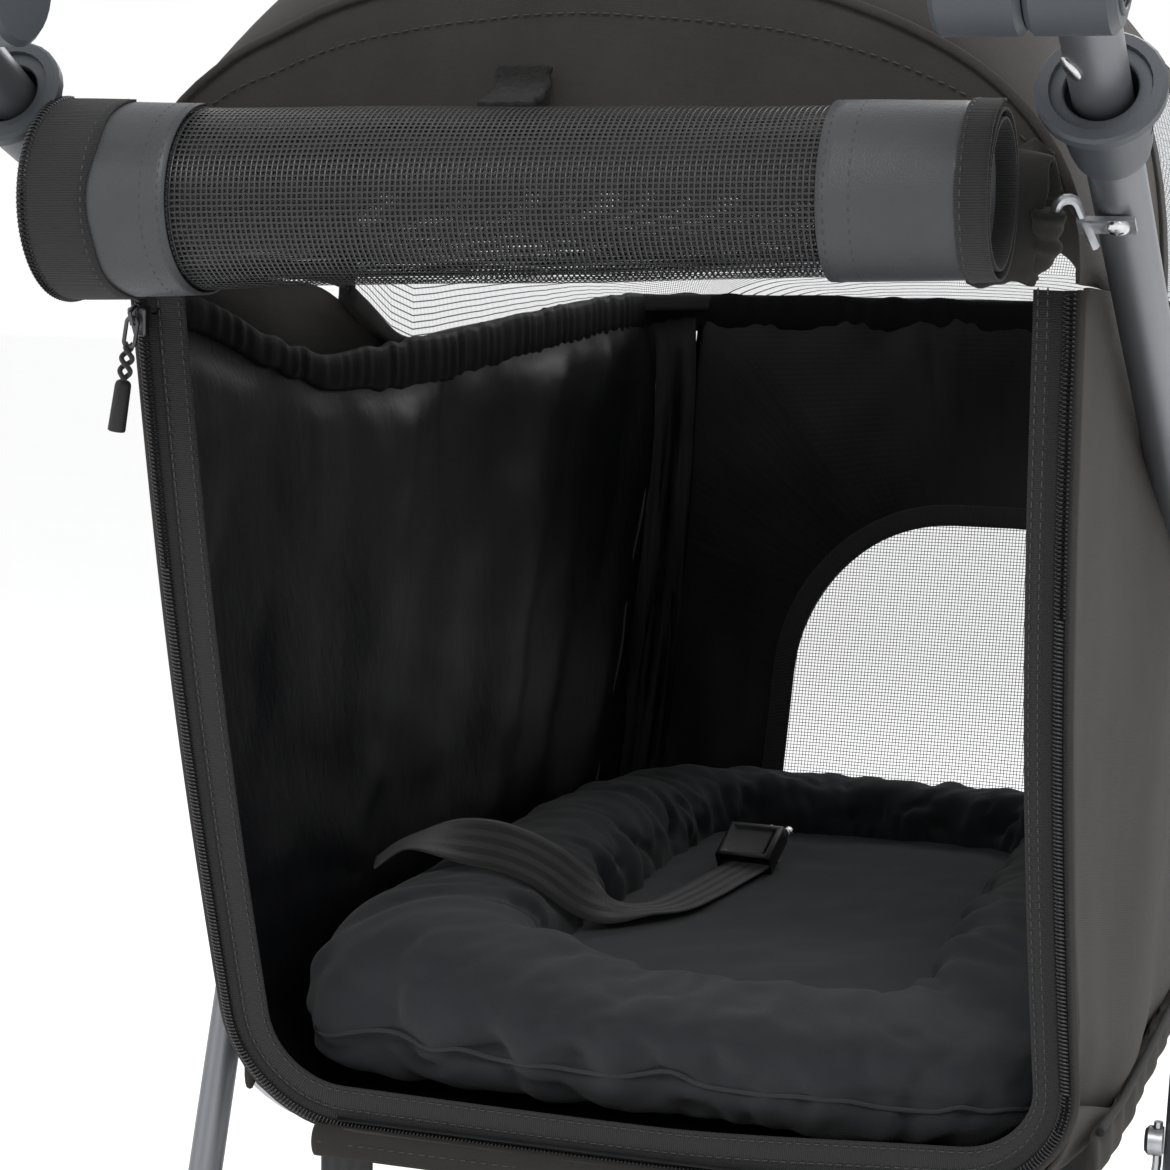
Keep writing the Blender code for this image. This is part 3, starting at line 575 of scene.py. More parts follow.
def stitches(name, lines, normals, step=0.0042, length=0.0028):
    """Rows of thread stitches lying on cloth; each line has the outward normal given for it."""
    verts, faces = [], []
    for line, normal in zip(lines, normals):
        for p, d in along(line, step):
            n = normal(p) if callable(normal) else normal
            side = d.cross(n).normalized()
            base = len(verts)
            shape = [(-1.0, 0.35, 0.0), (-0.6, 1.0, 0.9), (0.6, 1.0, 0.9), (1.0, 0.35, 0.0)]
            for a, wide, high in shape:
                c = p + d * (a * length / 2)
                for s, h in ((-1, 0), (-0.6, 1), (0.6, 1), (1, 0)):
                    verts.append(c + side * (s * THREAD_R * wide) + n * (THREAD_R * (0.15 + h * high)))
            for a in range(3):
                for b in range(4):
                    i, j = base + a * 4 + b, base + a * 4 + (b + 1) % 4
                    faces.append((i, j, j + 4, i + 4))
            faces.append((base + 3, base + 2, base + 1, base))
            faces.append((base + 12, base + 13, base + 14, base + 15))
    mesh = bpy.data.meshes.new(name)
    mesh.from_pydata([tuple(v) for v in verts], [], faces)
    bm = bmesh.new()
    bm.from_mesh(mesh)
    bmesh.ops.recalc_face_normals(bm, faces=bm.faces)
    bm.to_mesh(mesh)
    bm.free()
    return put(name, mesh, "thread")


def coil(name, path, up, width=0.0042, height=0.0019, wire=0.00042):
    """A zip's coil: a flattened helix of nylon along a path."""
    turns = 8
    points = along(path, COIL_PITCH / turns)
    line = []
    for k, (p, d) in enumerate(points):
        n = up(p) if callable(up) else up
        side = d.cross(n).normalized()
        a = PI2 * k / turns
        line.append(p + side * (math.cos(a) * width / 2) + n * (math.sin(a) * height / 2))
    rings = []
    for i, p in enumerate(line):
        d = (line[min(i + 1, len(line) - 1)] - line[max(i - 1, 0)]).normalized()
        n = d.orthogonal().normalized() if abs(d.x) > 0.9 else d.cross(Vector((1, 0, 0))).normalized()
        s = d.cross(n)
        rings.append([p + (n * math.cos(b) + s * math.sin(b)) * wire
                      for b in (0, PI2 / 4, PI2 / 2, 3 * PI2 / 4)])
    mesh = grid_mesh(name, rings, wrap_u=True, caps=True)
    return put(name, mesh, "coil")


def fresh(kind, **values):
    """Adds a primitive with nothing else selected, and returns it."""
    bpy.ops.object.select_all(action="DESELECT")
    getattr(bpy.ops.mesh, "primitive_" + kind + "_add")(**values)
    return bpy.context.object


def pick(ob, test, kind="FACE"):
    """Enters edit mode with only the faces, edges or points chosen by the test selected."""
    bpy.ops.object.mode_set(mode="EDIT")
    bpy.ops.mesh.select_mode(type=kind)
    bpy.ops.mesh.select_all(action="DESELECT")
    bm = bmesh.from_edit_mesh(ob.data)
    for item in {"FACE": bm.faces, "EDGE": bm.edges, "VERT": bm.verts}[kind]:
        item.select = test(item)
    bm.select_flush_mode()
    bmesh.update_edit_mesh(ob.data)


def washer(name, finish_name, body, place, axis, outer, inner, depth, round_off, replaces=(),
           stretch=None):
    """A ring cut from a disc and rounded; stretch pulls its two halves apart into a long link."""
    ob = fresh("cylinder", vertices=48, radius=outer, depth=depth, location=place, rotation=aimed(axis))
    pick(ob, lambda f: abs(f.normal.z) > 0.9)
    bpy.ops.mesh.inset(thickness=outer - inner)
    bpy.ops.mesh.bridge_edge_loops()
    if stretch:
        world = ob.matrix_world.copy()
        for sign in (1, -1):
            pick(ob, lambda v: (world @ v.co - place).dot(stretch) * sign > 1e-7, "VERT")
            bpy.ops.transform.translate(value=stretch * sign)
    bpy.ops.object.mode_set(mode="OBJECT")
    modify(ob, "BEVEL", width=round_off, segments=3, limit_method="ANGLE", angle_limit=0.7)
    bake_modifiers(ob)
    return adopt(ob, name, finish_name, body, replaces)


def aimed(direction):
    """Euler angles that turn +Z to a direction."""
    return Vector(direction).to_track_quat("Z", "Y").to_euler()


# ---------------------------------------------------------------- the cabin's surfaces


def cabin_half(y, z):
    forward = min(max(y / 0.55, 0), 1)
    up = min(max(z / 0.33, 0), 1)
    return CABIN_HALF + 0.016 * forward * up ** 3


def rim_height(y):
    """The soft rim's height: high at the door, slumping along the sides, and up again at the front."""
    return 0.300 + 0.040 * (1 - smoothstep(-0.12, 0.11, y)) + 0.022 * smoothstep(0.08, 0.62, y)


def shell_top(y):
    """The height where the hood's canvas meets the cabin's canvas."""
    line = RIM_REAR + (RIM_FRONT - RIM_REAR) * min(max((y + 0.1) / 0.7, 0), 1)
    return line + (rim_height(y) - line) * smoothstep(0.09, 0.20, y)


def wall_point(s, z, inset):
    """A point on the left wall and its rounded front corner; s runs from the door to the front."""
    rear = -REAR_SLOPE * z
    front = CABIN_LENGTH + FRONT_SLOPE * z - inset
    radius = 0.028
    half = cabin_half(rear + (front - rear) * min(s, 1), z) - inset
    if s <= 1.0:
        y = rear + (front - radius - rear) * s
        return Vector((-half, y, z))
    a = (s - 1.0) * math.pi / 2
    return Vector((-half + radius - radius * math.cos(a), front - radius + radius * math.sin(a), z))


def foot_radius(s):
    """The radius at the wall's foot: round at the door, and tight further forward."""
    return 0.050 - 0.032 * min(max(s, 0) / 0.2, 1)


def corner_arc(v, s, inset=0.0):
    """Height and inward shift for a wall that turns under at its foot; v runs from -1 to 0."""
    radius = foot_radius(s) - inset
    a = (1 + v) * math.pi / 2
    return FLOOR_LOW + inset + radius * (1 - math.sin(a)), radius * (1 - math.cos(a))


def folds(s, z, side, seed):
    """How far the lining stands off its wall: gathers at the rim and long soft folds below."""
    rim = math.exp(-max(rim_z(s) - z, 0) / 0.030)
    gather = math.sin(s * 74 + 2.1 * math.sin(s * 13 + seed)) * 0.0018
    gather += math.sin(s * 131 + 1.7 * math.sin(s * 29)) * 0.0008
    lean = s * 9.0 + (0.33 - z) * 6.5
    long_fold = (math.sin(lean * 1.9 + seed) + 0.6 * math.sin(lean * 4.3 + 2.0 + seed * 2)) * 0.0021
    where = Vector((s * 4.2 + seed, z * 16.0 + side, seed))
    crumple = noise.noise(where) * 0.0036 + noise.noise(where * 2.7) * 0.0016
    hang = math.sin(math.pi * min(max(z / 0.3, 0), 1)) ** 0.7
    off = max(0.0004, 0.0044 + gather * rim + (long_fold * 1.9 + crumple * 1.2) * (0.30 + 0.7 * hang))
    return min(off, 0.0022 + 0.020 * smoothstep(0.014, 0.055, rim_z(s) - z))


def rim_z(s):
    return rim_height(min(s, 1.0) * 0.66 - 0.06)


WINDOW = (-0.075, 0.140, 0.030, 0.197, 0.092, 0.016)


def window_outline(count, grow=0.0):
    """Points round the front window, from the left side's middle, clockwise seen from the door."""
    left, right, low, high, big, small = WINDOW
    left, right, low, high = left - grow, right + grow, low - grow, high + grow
    corners = [(left, low, small, math.pi, 1.5 * math.pi), (right, low, small, 1.5 * math.pi, PI2),
               (right, high, big, 0, math.pi / 2), (left, high, big, math.pi / 2, math.pi)]
    line = []
    for x, z, r, a, b in corners:
        cx = x + r if x == left else x - r
        cz = z + r if z == low else z - r
        for k in range(13):
            t = a + (b - a) * k / 12
            line.append(Vector((cx + r * math.cos(t), 0, cz + r * math.sin(t))))
    line.append(line[0].copy())
    return [p for p, _ in along(line, sum((b - a).length for a, b in zip(line, line[1:])) / count)][:count]


def front_panel(inset, low, count=96, rings=9, wave=None):
    """Rings of points from the front window's edge out to the front wall's own edge."""
    inner = window_outline(count)
    top, rows = rim_height(0.6), []
    center = Vector((0.03, 0, 0.12))
    for k in range(rings):
        t = k / (rings - 1)
        row = []
        for p in inner:
            d = p - center
            half_x = CABIN_HALF + 0.014 * smoothstep(0, 0.3, p.z) - 0.028
            best = 9.0
            for normal, limit in (((1, 0, 0), half_x), ((-1, 0, 0), half_x), ((0, 0, 1), top),
                                  ((0, 0, -1), -low)):
                n = Vector(normal)
                along_n = d.dot(n)
                if along_n > 1e-6:
                    best = min(best, (limit - center.dot(n)) / along_n)
            edge = center + d * best
            q = p.lerp(edge, t)
            y = CABIN_LENGTH + FRONT_SLOPE * q.z - inset
            if wave:
                y -= wave(q.x, q.z, t)
            row.append(at(q.x, y, q.z))
        rows.append(row)
    return rows


# ---------------------------------------------------------------- pieces


def build_sides():
    """The canvas outside of the cabin: two walls that turn under at the floor, and the base."""
    for side, name in ((-1, "left"), (1, "right")):
        rows = []
        count = 44
        for j in range(19):
            v = j / 18
            row = []
            for i in range(count + 9):
                s = i / count if i <= count else 1 + (i - count) / 8
                top = shell_top(min(s, 1.0) * 0.69 - 0.085)
                foot = foot_radius(s) - 0.018
                if v < 0.25:
                    z, inward = corner_arc(v / 0.25 - 1, s)
                else:
                    z, inward = foot + (top - foot) * (v - 0.25) / 0.75, 0.0
                p = wall_point(s, z, 0.0)
                p.x += inward
                p.x += door_shift(z) * side * -1 * (1 - smoothstep(0.0, 0.18, s))
                p.y -= inward * max(0.0, s - 1) * 0.8
                billow = 0.0016 * noise.noise(Vector((s * 3.5, z * 11, side * 3.0)))
                billow += 0.0009 * noise.noise(Vector((s * 9, z * 26, side * 5.0)))
                wrinkle = math.sin(s * 23 + z * 9 + 1.6 * math.sin(z * 13 + s * 5))
                crease = 0.0040 * (1 + wrinkle) * smoothstep(0.015, 0.10, s)
                belly = (0.0050 * smoothstep(0.05, 0.4, s)
                         * math.sin(math.pi * min(max((z + 0.018) / 0.30, 0), 1)))
                out = (billow + crease * 0.55 + belly if s <= 1
                       else billow * 0.3 + (crease * 0.55 + belly) * (2 - s))
                p.x -= max(out, 0.0) * smoothstep(0.0, 0.3, v)
                row.append(at(p.x * -side, p.y, p.z) if side > 0 else at(p.x, p.y, p.z))
            rows.append(row)
        if side > 0:
            rows = [row[::-1] for row in rows]
        ob = cloth("cabin_side_" + name, rows, "canvas", 0.0014, -1.0, 1,
                   replaces=("cabin_tub",) if side < 0 else ())
    rows = []
    for j in range(24):
        t = j / 23
        half = 0.184 - foot_radius(t) - 0.028 * max(0.0, (t - 0.94) / 0.06) ** 2
        y = -0.002 + (CABIN_LENGTH - 0.008) * t
        rows.append([at(half * (i / 12 - 1), y, -0.0180 - 0.0010 * math.sin(math.pi * i / 24))
                     for i in range(25)])
    base = cloth("cabin_base", rows, "canvas", 0.0016, 1.0, 1)
    for side, name in ((-1, "left"), (1, "right")):
        path = [at(side * (0.1805 + 0.004 * smoothstep(0.0, 0.3, y)), y,
                   0.0045 + 0.006 * (1 - smoothstep(0.03, 0.10, y)))
                for y in np.linspace(0.030, 0.470, 60)]
        strip("edge_piping_" + name, path, 0.0036, 0.0036, "tape", Vector((0, 0, 1)), power=2)
        rings = []
        for k, y in enumerate(np.linspace(0.012, 0.472, 90)):
            wob = 0.0016 * noise.noise(Vector((k * 0.21, side, 3))) + 0.0009 * math.sin(k * 0.9)
            rise = 0.006 * (1 - smoothstep(0.03, 0.10, y))
            ring = []
            for a, b in ring_section(0.0050, 0.0190, 3, 14):
                ring.append(at(side * (0.1785 + 0.002 * smoothstep(0, 0.3, y) + a + wob), y,
                               -0.0060 + rise + b + wob))
            rings.append(ring if side < 0 else ring[::-1])
        put("edge_band_" + name, grid_mesh("edge_band_" + name, rings, wrap_u=True, caps=True),
            "hem_canvas")
    panel = cloth("cabin_front", front_panel(0.0, FLOOR_LOW), "canvas", 0.0014, 1.0, 1,
                  wrap_u=True)


def build_lining():
    """The satin lining: gathered at its elastic rim, with piped corner seams and a window edge."""
    for side, name in ((-1, "left"), (1, "right")):
        rows, count = [], 150
        for j in range(64):
            v = j / 63
            row = []
            for i in range(count + 13):
                s = i / count if i <= count else 1 + (i - count) / 12
                top = rim_z(s) + 0.0012 * math.sin(s * 110)
                foot = foot_radius(s) - 0.018
                if v < 0.12:
                    z, inward = corner_arc(v / 0.12 - 1, s, inset=0.004)
                else:
                    z, inward = foot + (top - foot) * ((v - 0.12) / 0.88), 0.0
                p = wall_point(min(s, 1.999), z, 0.0036)
                off = folds(s, z, side, 1.3 if side < 0 else 4.1) * smoothstep(0.02, 0.25, v) + 0.0008
                p.x += door_shift(z) * side * -1 * (1 - smoothstep(0.0, 0.18, s))
                if s <= 1:
                    p.x += off + inward
                else:
                    a = (s - 1) * math.pi / 2
                    p.x += (off + inward) * math.cos(a)
                    p.y -= (off + inward) * math.sin(a)
                row.append(at(p.x, p.y, p.z) if side < 0 else at(-p.x, p.y, p.z))
            rows.append(row)
        if side < 0:
            rows = [row[::-1] for row in rows]
        ob = cloth("lining_" + name, rows, "satin", 0.0006, -1.0, 0)

    def wave(x, z, t):
        out = math.exp(-t / 0.25) + math.exp(-(1 - t) / 0.2)
        ripple = (noise.noise(Vector((x * 14, z * 10, 7.7))) * 0.006
                  + noise.noise(Vector((x * 38, z * 22, 2.2))) * 0.003)
        rim = math.exp(-max(rim_height(0.6) - z,
                            0) / 0.03) * (0.0022 * math.sin(x * 160 + 2 * math.sin(x * 40)))
        return 0.0042 + ripple * (0.35 + 0.3 * (1 - out)) + rim
    rows = front_panel(0.0012, -0.012, 160, 26, wave)
    panel = cloth("lining_front", [r[::-1] for r in rows], "satin", 0.0006, -1.0, 0, wrap_u=True)
    for side, name in ((-1, "left"), (1, "right")):
        path = []
        for k in range(40):
            z = 0.012 + 0.262 * k / 39
            y = 0.415 + 0.160 * (z / 0.28)
            path.append(at(side * (cabin_half(y, z) - 0.0105 - 0.0012 * math.sin(k * 0.5)), y, z))
        strip("corner_piping_" + name, path, 0.0030, 0.0030, "pipe_satin", Vector((0, 1, 0)),
              power=2)
    rows = [[at((0.181 - foot_radius(j / 23)) * (i / 10 - 1), -0.003 + (CABIN_LENGTH - 0.005) * j / 23,
                -0.0132)
             for i in range(21)] for j in range(24)]
    ground = cloth("lining_floor", rows, "satin", 0.0006, 1.0, 0)
    y_of = lambda p: CABIN_LENGTH + FRONT_SLOPE * p.z - 0.0078
    edge = [at(p.x, y_of(p), p.z) for p in window_outline(120, 0.004)]
    out = Vector((0, -1, FRONT_SLOPE)).normalized()
    strip("window_binding", edge, 0.013, 0.0018, "tape", out, closed=True)
    rows = []
    for j in range(20):
        z = 0.024 + (0.202 - 0.024) * j / 19
        rows.append([at(-0.080 + 0.227 * i / 23, CABIN_LENGTH + FRONT_SLOPE * z - 0.0052
                        + 0.0012 * math.sin(i * 0.7) * math.sin(j * 0.5), z) for i in range(24)])
    # The front window net takes the painted backlight finish: its pale threads stand in for light glowing
    # through it
    net_sheet = put("front_window_net", grid_mesh("front_window_net", rows), "window_net_painted_backlight")


def build_rim():
    """The elastic casing, gathered, that runs round the top of the lining."""
    left = []
    for i in range(150):
        s = i / 149 * 2.0
        s = s if s <= 1 else min(1 + (s - 1), 1.98)
        z = rim_z(s)
        p = wall_point(s, z, 0.0072)
        left.append(Vector((p.x, p.y, z)))
    front = [Vector((x, left[-1].y, left[-1].z))
             for x in np.linspace(left[-1].x + 0.004, -left[-1].x - 0.004, 60)]
    whole = left + front + [Vector((-p.x, p.y, p.z)) for p in left[::-1]]
    fine = [p for p, _ in along(whole, 0.0021)]
    rings = []
    for k, p in enumerate(fine):
        a, b = fine[max(k - 1, 0)], fine[min(k + 1, len(fine) - 1)]
        d = (b - a).normalized()
        up = Vector((0, 0, 1))
        side = d.cross(up).normalized()
        puff = (1 + 0.16 * math.sin(k * 0.95 + 1.4 * math.sin(k * 0.21))
                + 0.22 * noise.noise(Vector((k * 0.31, 3, 1))))
        lift = 0.0009 * math.sin(k * 0.29 + 2 * math.sin(k * 0.11))
        ring = []
        tall = 1.0 + 0.7 * smoothstep(0.02, 0.2, p.y)
        for x, y in ring_section(0.0052, 0.0140, 2.6, 12):
            ring.append(at(*(p + side * (x * puff) + up * (y * tall + lift - 0.0035 * tall))))
        rings.append(ring)
    mesh = grid_mesh("elastic_rim", rings, wrap_u=True, caps=True)
    put("elastic_rim", mesh, "rim_satin")


def canopy_rise(t):
    rise = 0.110 + 0.090 * (1 - math.exp(-t / 0.10))
    if t > 0.42:
        fall = (t - 0.42) / 0.58
        rise = 0.030 + (rise - 0.030) * max(0.0, 1 - fall ** 2.4) ** 0.62
    return rise


def hood_row(t, rise=None, inset=0.0006, count=48, lean=0.0):
    """One arch of the hood, t of the way forward."""
    s = min(max(t, 0), 1)
    rim = RIM_REAR + (RIM_FRONT - RIM_REAR) * s
    rear, front = -REAR_SLOPE * RIM_REAR - 0.006, CABIN_LENGTH + FRONT_SLOPE * RIM_FRONT
    y = rear + (front - rear) * t
    tall = (canopy_rise(s) if rise is None else rise) - inset
    half = cabin_half(y, rim) - inset - 0.045 * max(0.0, (s - 0.90) / 0.10) ** 2.2
    low = shell_top(y) + 0.0008
    row = []
    for i in range(count + 1):
        a = math.pi * i / count
        z = max(math.sin(a), 0.0) ** (2 / 2.4)
        height = low + z * (rim + tall - low)
        sag = 0.0032 * noise.noise(Vector((math.cos(a) * 2.2, t * 5, 3.1))) * math.sin(a)
        sag += 0.0012 * noise.noise(Vector((math.cos(a) * 7, t * 15, 8.1)))
        row.append(at(math.cos(a) * half * (1 - max(sag, 0) * 1.2), y + lean * z, height - abs(sag)))
    return row


def build_hood():
    """The hood: a half-moon rear panel with an arched seam, the canvas roof and the net front."""
    rows = [hood_row(0.0, r, lean=-0.002) for r in (0.031, 0.045, 0.060, 0.075, 0.090, 0.101)]
    seam = hood_row(0.0, 0.1075, 0.0)
    rows.append(seam)
    rows += [hood_row(t) for t in (0.006, 0.016, 0.03, 0.05, 0.075, 0.10, 0.13, 0.16, 0.19, 0.22, 0.25,
                                   0.275, 0.295)]
    hood = cloth("hood_canvas", rows, "canvas", 0.0016, 1.0, 1, replaces=("canopy",))
    pipe = [p + Vector((0, -0.0014, 0.0008)) for p in seam[3:-3]]
    strip("hood_seam", pipe, 0.0034, 0.0022, "canvas", Vector((0, -1, 0.4)).normalized(), power=2)
    above = [a.lerp(b, 0.9) + Vector((0, -0.0007, 0.0006)) for a, b in zip(rows[5][3:-3], rows[4][3:-3])]
    stitches("hood_seam_stitches", [above], [Vector((0, -1, 0.25)).normalized()])
    net_rows = [hood_row(t, inset=0.0016) for t in (0.295, 0.33, 0.37, 0.41, 0.45, 0.50, 0.55, 0.60, 0.65,
                                                    0.70, 0.75,
                                                   0.80, 0.84, 0.88, 0.91, 0.94, 0.96, 0.98, 0.99, 1.0)]
    last = net_rows[-1]
    for k in (0.75, 0.5, 0.25, 0.03):
        net_rows.append([Vector((p.x * (0.35 + 0.65 * k) if k > 0.1 else p.x * 0.35, p.y + 0.0,
                                 last[0].z + (p.z - last[0].z) * k)) for p in last])
    # The hood net shares the painted backlight finish: its pale threads stand in for light glowing through
    # it
    net_ob = put("hood_net", grid_mesh("hood_net", net_rows), "window_net_painted_backlight")
    edge = hood_row(0.298, inset=0.0002)
    strip("hood_binding", edge, 0.016, 0.0022, "hem_canvas",
          [Vector((p.x, 0, p.z - SILL.z - 0.30)).normalized() for p in edge])
    roof = [hood_row(t, inset=-0.0012, count=72)[12:61] for t in np.linspace(0.296, 0.70, 26)]
    top = cloth("hood_roof", [list(row) for row in roof], "canvas", 0.0012, 1.0, 1)
    line = [row[0] for row in roof] + roof[-1][1:] + [row[-1] for row in roof[-2::-1]]
    strip("roof_binding", line, 0.0075, 0.0036, "hem_canvas",
          [Vector((p.x, 0.02, p.z - SILL.z - 0.30)).normalized() for p in line], power=3)
    edge = []
    for t in np.linspace(0.295, 1.0, 60):
        row = hood_row(float(t), inset=0.0)
        edge.append(row[-1])
    far = hood_row(1.0, inset=0.0)
    loop = edge + [Vector((x, far[0].y, far[0].z)) for x in np.linspace(edge[-1].x, -edge[-1].x, 24)[1:-1]]
    loop += [Vector((-p.x, p.y, p.z)) for p in edge[::-1]]
    strip("hood_lower_binding", loop, 0.006, 0.0100, "hem_canvas", Vector((0, 0, 1)), power=4)


def door_shift(z):
    """How far the soft door frame leans to the left at a height."""
    return -0.0010 - 0.0042 * math.sin(math.pi * min(max(z / 0.335, 0), 1))


def door_line(inset, top=RIM_REAR - 0.002, count=12):
    """The line round the door opening, from its left top to its right top."""
    half, radius, low = CABIN_HALF - inset, 0.050 - inset, FLOOR_LOW + inset
    flat = [(-half, top - (top - 0.034) * k / 24) for k in range(24)]
    for i in range(count + 1):
        a = math.pi + math.pi / 2 * i / count
        flat.append((-half + radius + radius * math.cos(a), low + radius + radius * math.sin(a)))
    flat += [(-half + radius + (half - radius) * k / 10, low) for k in range(1, 10)]
    flat += [(-x, z) for x, z in reversed(flat)]
    line = []
    for x, z in flat:
        foot = 1 - smoothstep(0.0, 0.10, z)
        z += (0.0085 * smoothstep(0.0, 0.17, x) - 0.0016 * math.cos(x * 9)) * foot
        line.append(at(x + door_shift(z), -REAR_SLOPE * z, z))
    return line


DOOR_OUT = Vector((0, -1, -REAR_SLOPE)).normalized()


def build_zip():
    """The door's zip: a ribbed facing and tape round the opening, its coil, and the hem below."""
    facing = [p + DOOR_OUT * 0.0012 + Vector((0.0052 * smoothstep(0.05, 0.15, p.x), 0, 0))
              for p in door_line(0.0146)]
    strip("door_facing", facing, 0.0124, 0.0016, "tape", DOOR_OUT, replaces=("door_zip",),
          count=16)
    tape = [p + DOOR_OUT * 0.0018 for p in door_line(0.0058)]
    strip("zip_tape", tape, 0.0070, 0.0012, "dark_tape", DOOR_OUT)
    teeth = [p + DOOR_OUT * 0.0030 for p in door_line(0.0030)]
    coil("zip_coil", teeth, DOOR_OUT, width=0.0040, height=0.0017, wire=0.00048)
    seat = [p + DOOR_OUT * 0.0014 for p in door_line(0.0026)]
    strip("zip_seat", seat, 0.0052, 0.0016, "dark_tape", DOOR_OUT)
    roll = [p + DOOR_OUT * 0.0004 for p in door_line(-0.0005)]
    strip("door_edge", roll, 0.0034, 0.0026, "canvas", DOOR_OUT, power=2.2)
    rows = [[p + DOOR_OUT * 0.0023 for p in door_line(0.0105)]]
    stitches("zip_stitches", rows + [[p + DOOR_OUT * 0.0023
                                      + Vector((0.0052 * smoothstep(0.05, 0.15, p.x), 0, 0))
                                for p in door_line(0.0190)]], [DOOR_OUT] * 2, step=0.0038)
    rows = []
    for k in range(9):
        a = math.pi * k / 8
        row = []
        for i in range(61):
            x = -0.142 + 0.284 * i / 60
            rise = 0.0085 * smoothstep(0.0, 0.17, x)
            swell = 1 + 0.22 * noise.noise(Vector((i * 0.22, k * 0.3, 4)))
            row.append(at(x, 0.0012 - 0.0052 * math.sin(a) * swell,
                          -0.0165 - 0.0068 * (1 - math.cos(a)) + rise))
        rows.append(row)
    cloth("sill_hem", rows, "hem_canvas", 0.0012, 0.0, 1)
    low = [at(x, -0.0044, -0.0225 + 0.0085 * smoothstep(0.0, 0.17, x))
           for x in np.linspace(-0.138, 0.138, 61)]
    stitches("sill_stitches", [low], [Vector((0, -1, 0))], step=0.0046, length=0.0030)


def roll_point(theta, x, shrink=0.0):
    """A point on the rolled door's spiral; theta 0 is the top, where it leaves the hood."""
    share = (x + 0.170) / 0.330
    radius = 0.0345 - 0.0066 * share - shrink
    turn = theta / PI2
    radius -= 0.0030 * turn + 0.0008 * math.sin(theta * 2 + x * 9)
    radius += 0.0010 * noise.noise(Vector((x * 16, theta * 0.8, 5.5)))
    squash = 1.0 + 0.03 * math.sin(x * 14)
    return at(x, ROLL_Y - radius * math.sin(theta),
              ROLL_Z + ROLL_TILT * x + radius * squash * math.cos(theta))


def roll_rows(x0, x1, turns, columns, shrink=0.0, steps=150):
    return [[roll_point(PI2 * turns * j / steps, x0 + (x1 - x0) * i / columns, shrink)
             for i in range(columns + 1)] for j in range(steps + 1)]


def build_roll():
    """The rolled-up door: ribbed tape ends, coated borders and open net between them."""
    turns = 2.3

    def wavy(x, edge, amount):
        return lambda t: x + edge * amount * (0.6 * math.sin(t * 17) + 0.4 * math.sin(t * 41 + 1))
    steps = 150
    parts = (("roll_tape_left", -0.1722, wavy(-0.1450, 1, 0.0016), "tape", "zip_tape", 6, -0.0006),
             ("roll_border_left", lambda t: -0.1490, lambda t: -0.1170, "coated", "door_cloth", 8, 0.0003),
             ("roll_border_right", lambda t: 0.1070, lambda t: 0.1540, "coated", "door_cloth", 10, 0.0003),
             ("roll_tape_right", wavy(0.1510, 1, 0.0005), lambda t: 0.1608, "tape", "zip_tape", 4, -0.0005))
    for name, x0, x1, fin, slot, columns, shrink in parts:
        rows = []
        for j in range(steps + 1):
            theta = PI2 * turns * j / steps
            a = x0(theta / PI2) if callable(x0) else x0
            b = x1(theta / PI2) if callable(x1) else x1
            rows.append([roll_point(theta, a + (b - a) * i / columns, shrink) for i in range(columns + 1)])
        ob = cloth(name, rows, fin, 0.0009, -1.0, 0,
                   replaces=("door_roll",) if name == "roll_border_left" else ())
    mesh = grid_mesh("roll_net", roll_rows(-0.1175, 0.1075, turns, 46, 0.0010))
    net_ob = put("roll_net", mesh, "door_net")
    out = lambda p: Vector((0, p.y - SILL.y - ROLL_Y, p.z - SILL.z - ROLL_Z - ROLL_TILT * p.x)).normalized()
    edge = [roll_point(PI2 * turns * j / 260, -0.1704, -0.0012) for j in range(261)]
    coil("roll_zip_coil", edge, out, width=0.0036, height=0.0016, wire=0.00048)
    lines = []
    for x, lift in ((-0.1262, -0.0003), (-0.1196, -0.0003), (0.1092, -0.0003), (0.1176, -0.0003),
                    (0.1524, -0.0012),
                    (-0.1478, -0.0012)):
        lines.append([roll_point(PI2 * 1.0 * j / 90, x, lift) for j in range(91)])
    stitches("roll_stitches", lines, [out] * len(lines), step=0.0036, length=0.0024)


def build_tab():
    """The hook-and-loop tab that holds the roll to the hood."""
    path = smooth_path([Vector((0, y, z)) for y, z in ((-0.1240, 0.3984), (-0.1170, 0.4004),
                                               (-0.1085, 0.4030), (-0.1042, 0.4075),
                                               (-0.1030, 0.4135))], 5)
    rows = []
    for j, p in enumerate(path):
        rows.append([at(-0.0275 + 0.0200 * i / 8 + 0.0006 * math.sin(j), p.y,
                        p.z + 0.0005 * math.sin(i * 2.2 + j))
                     for i in range(9)])
    return cloth("roll_strap", rows, "fuzzy", 0.0026, 0.0, 1, replaces=("roll_tab",))


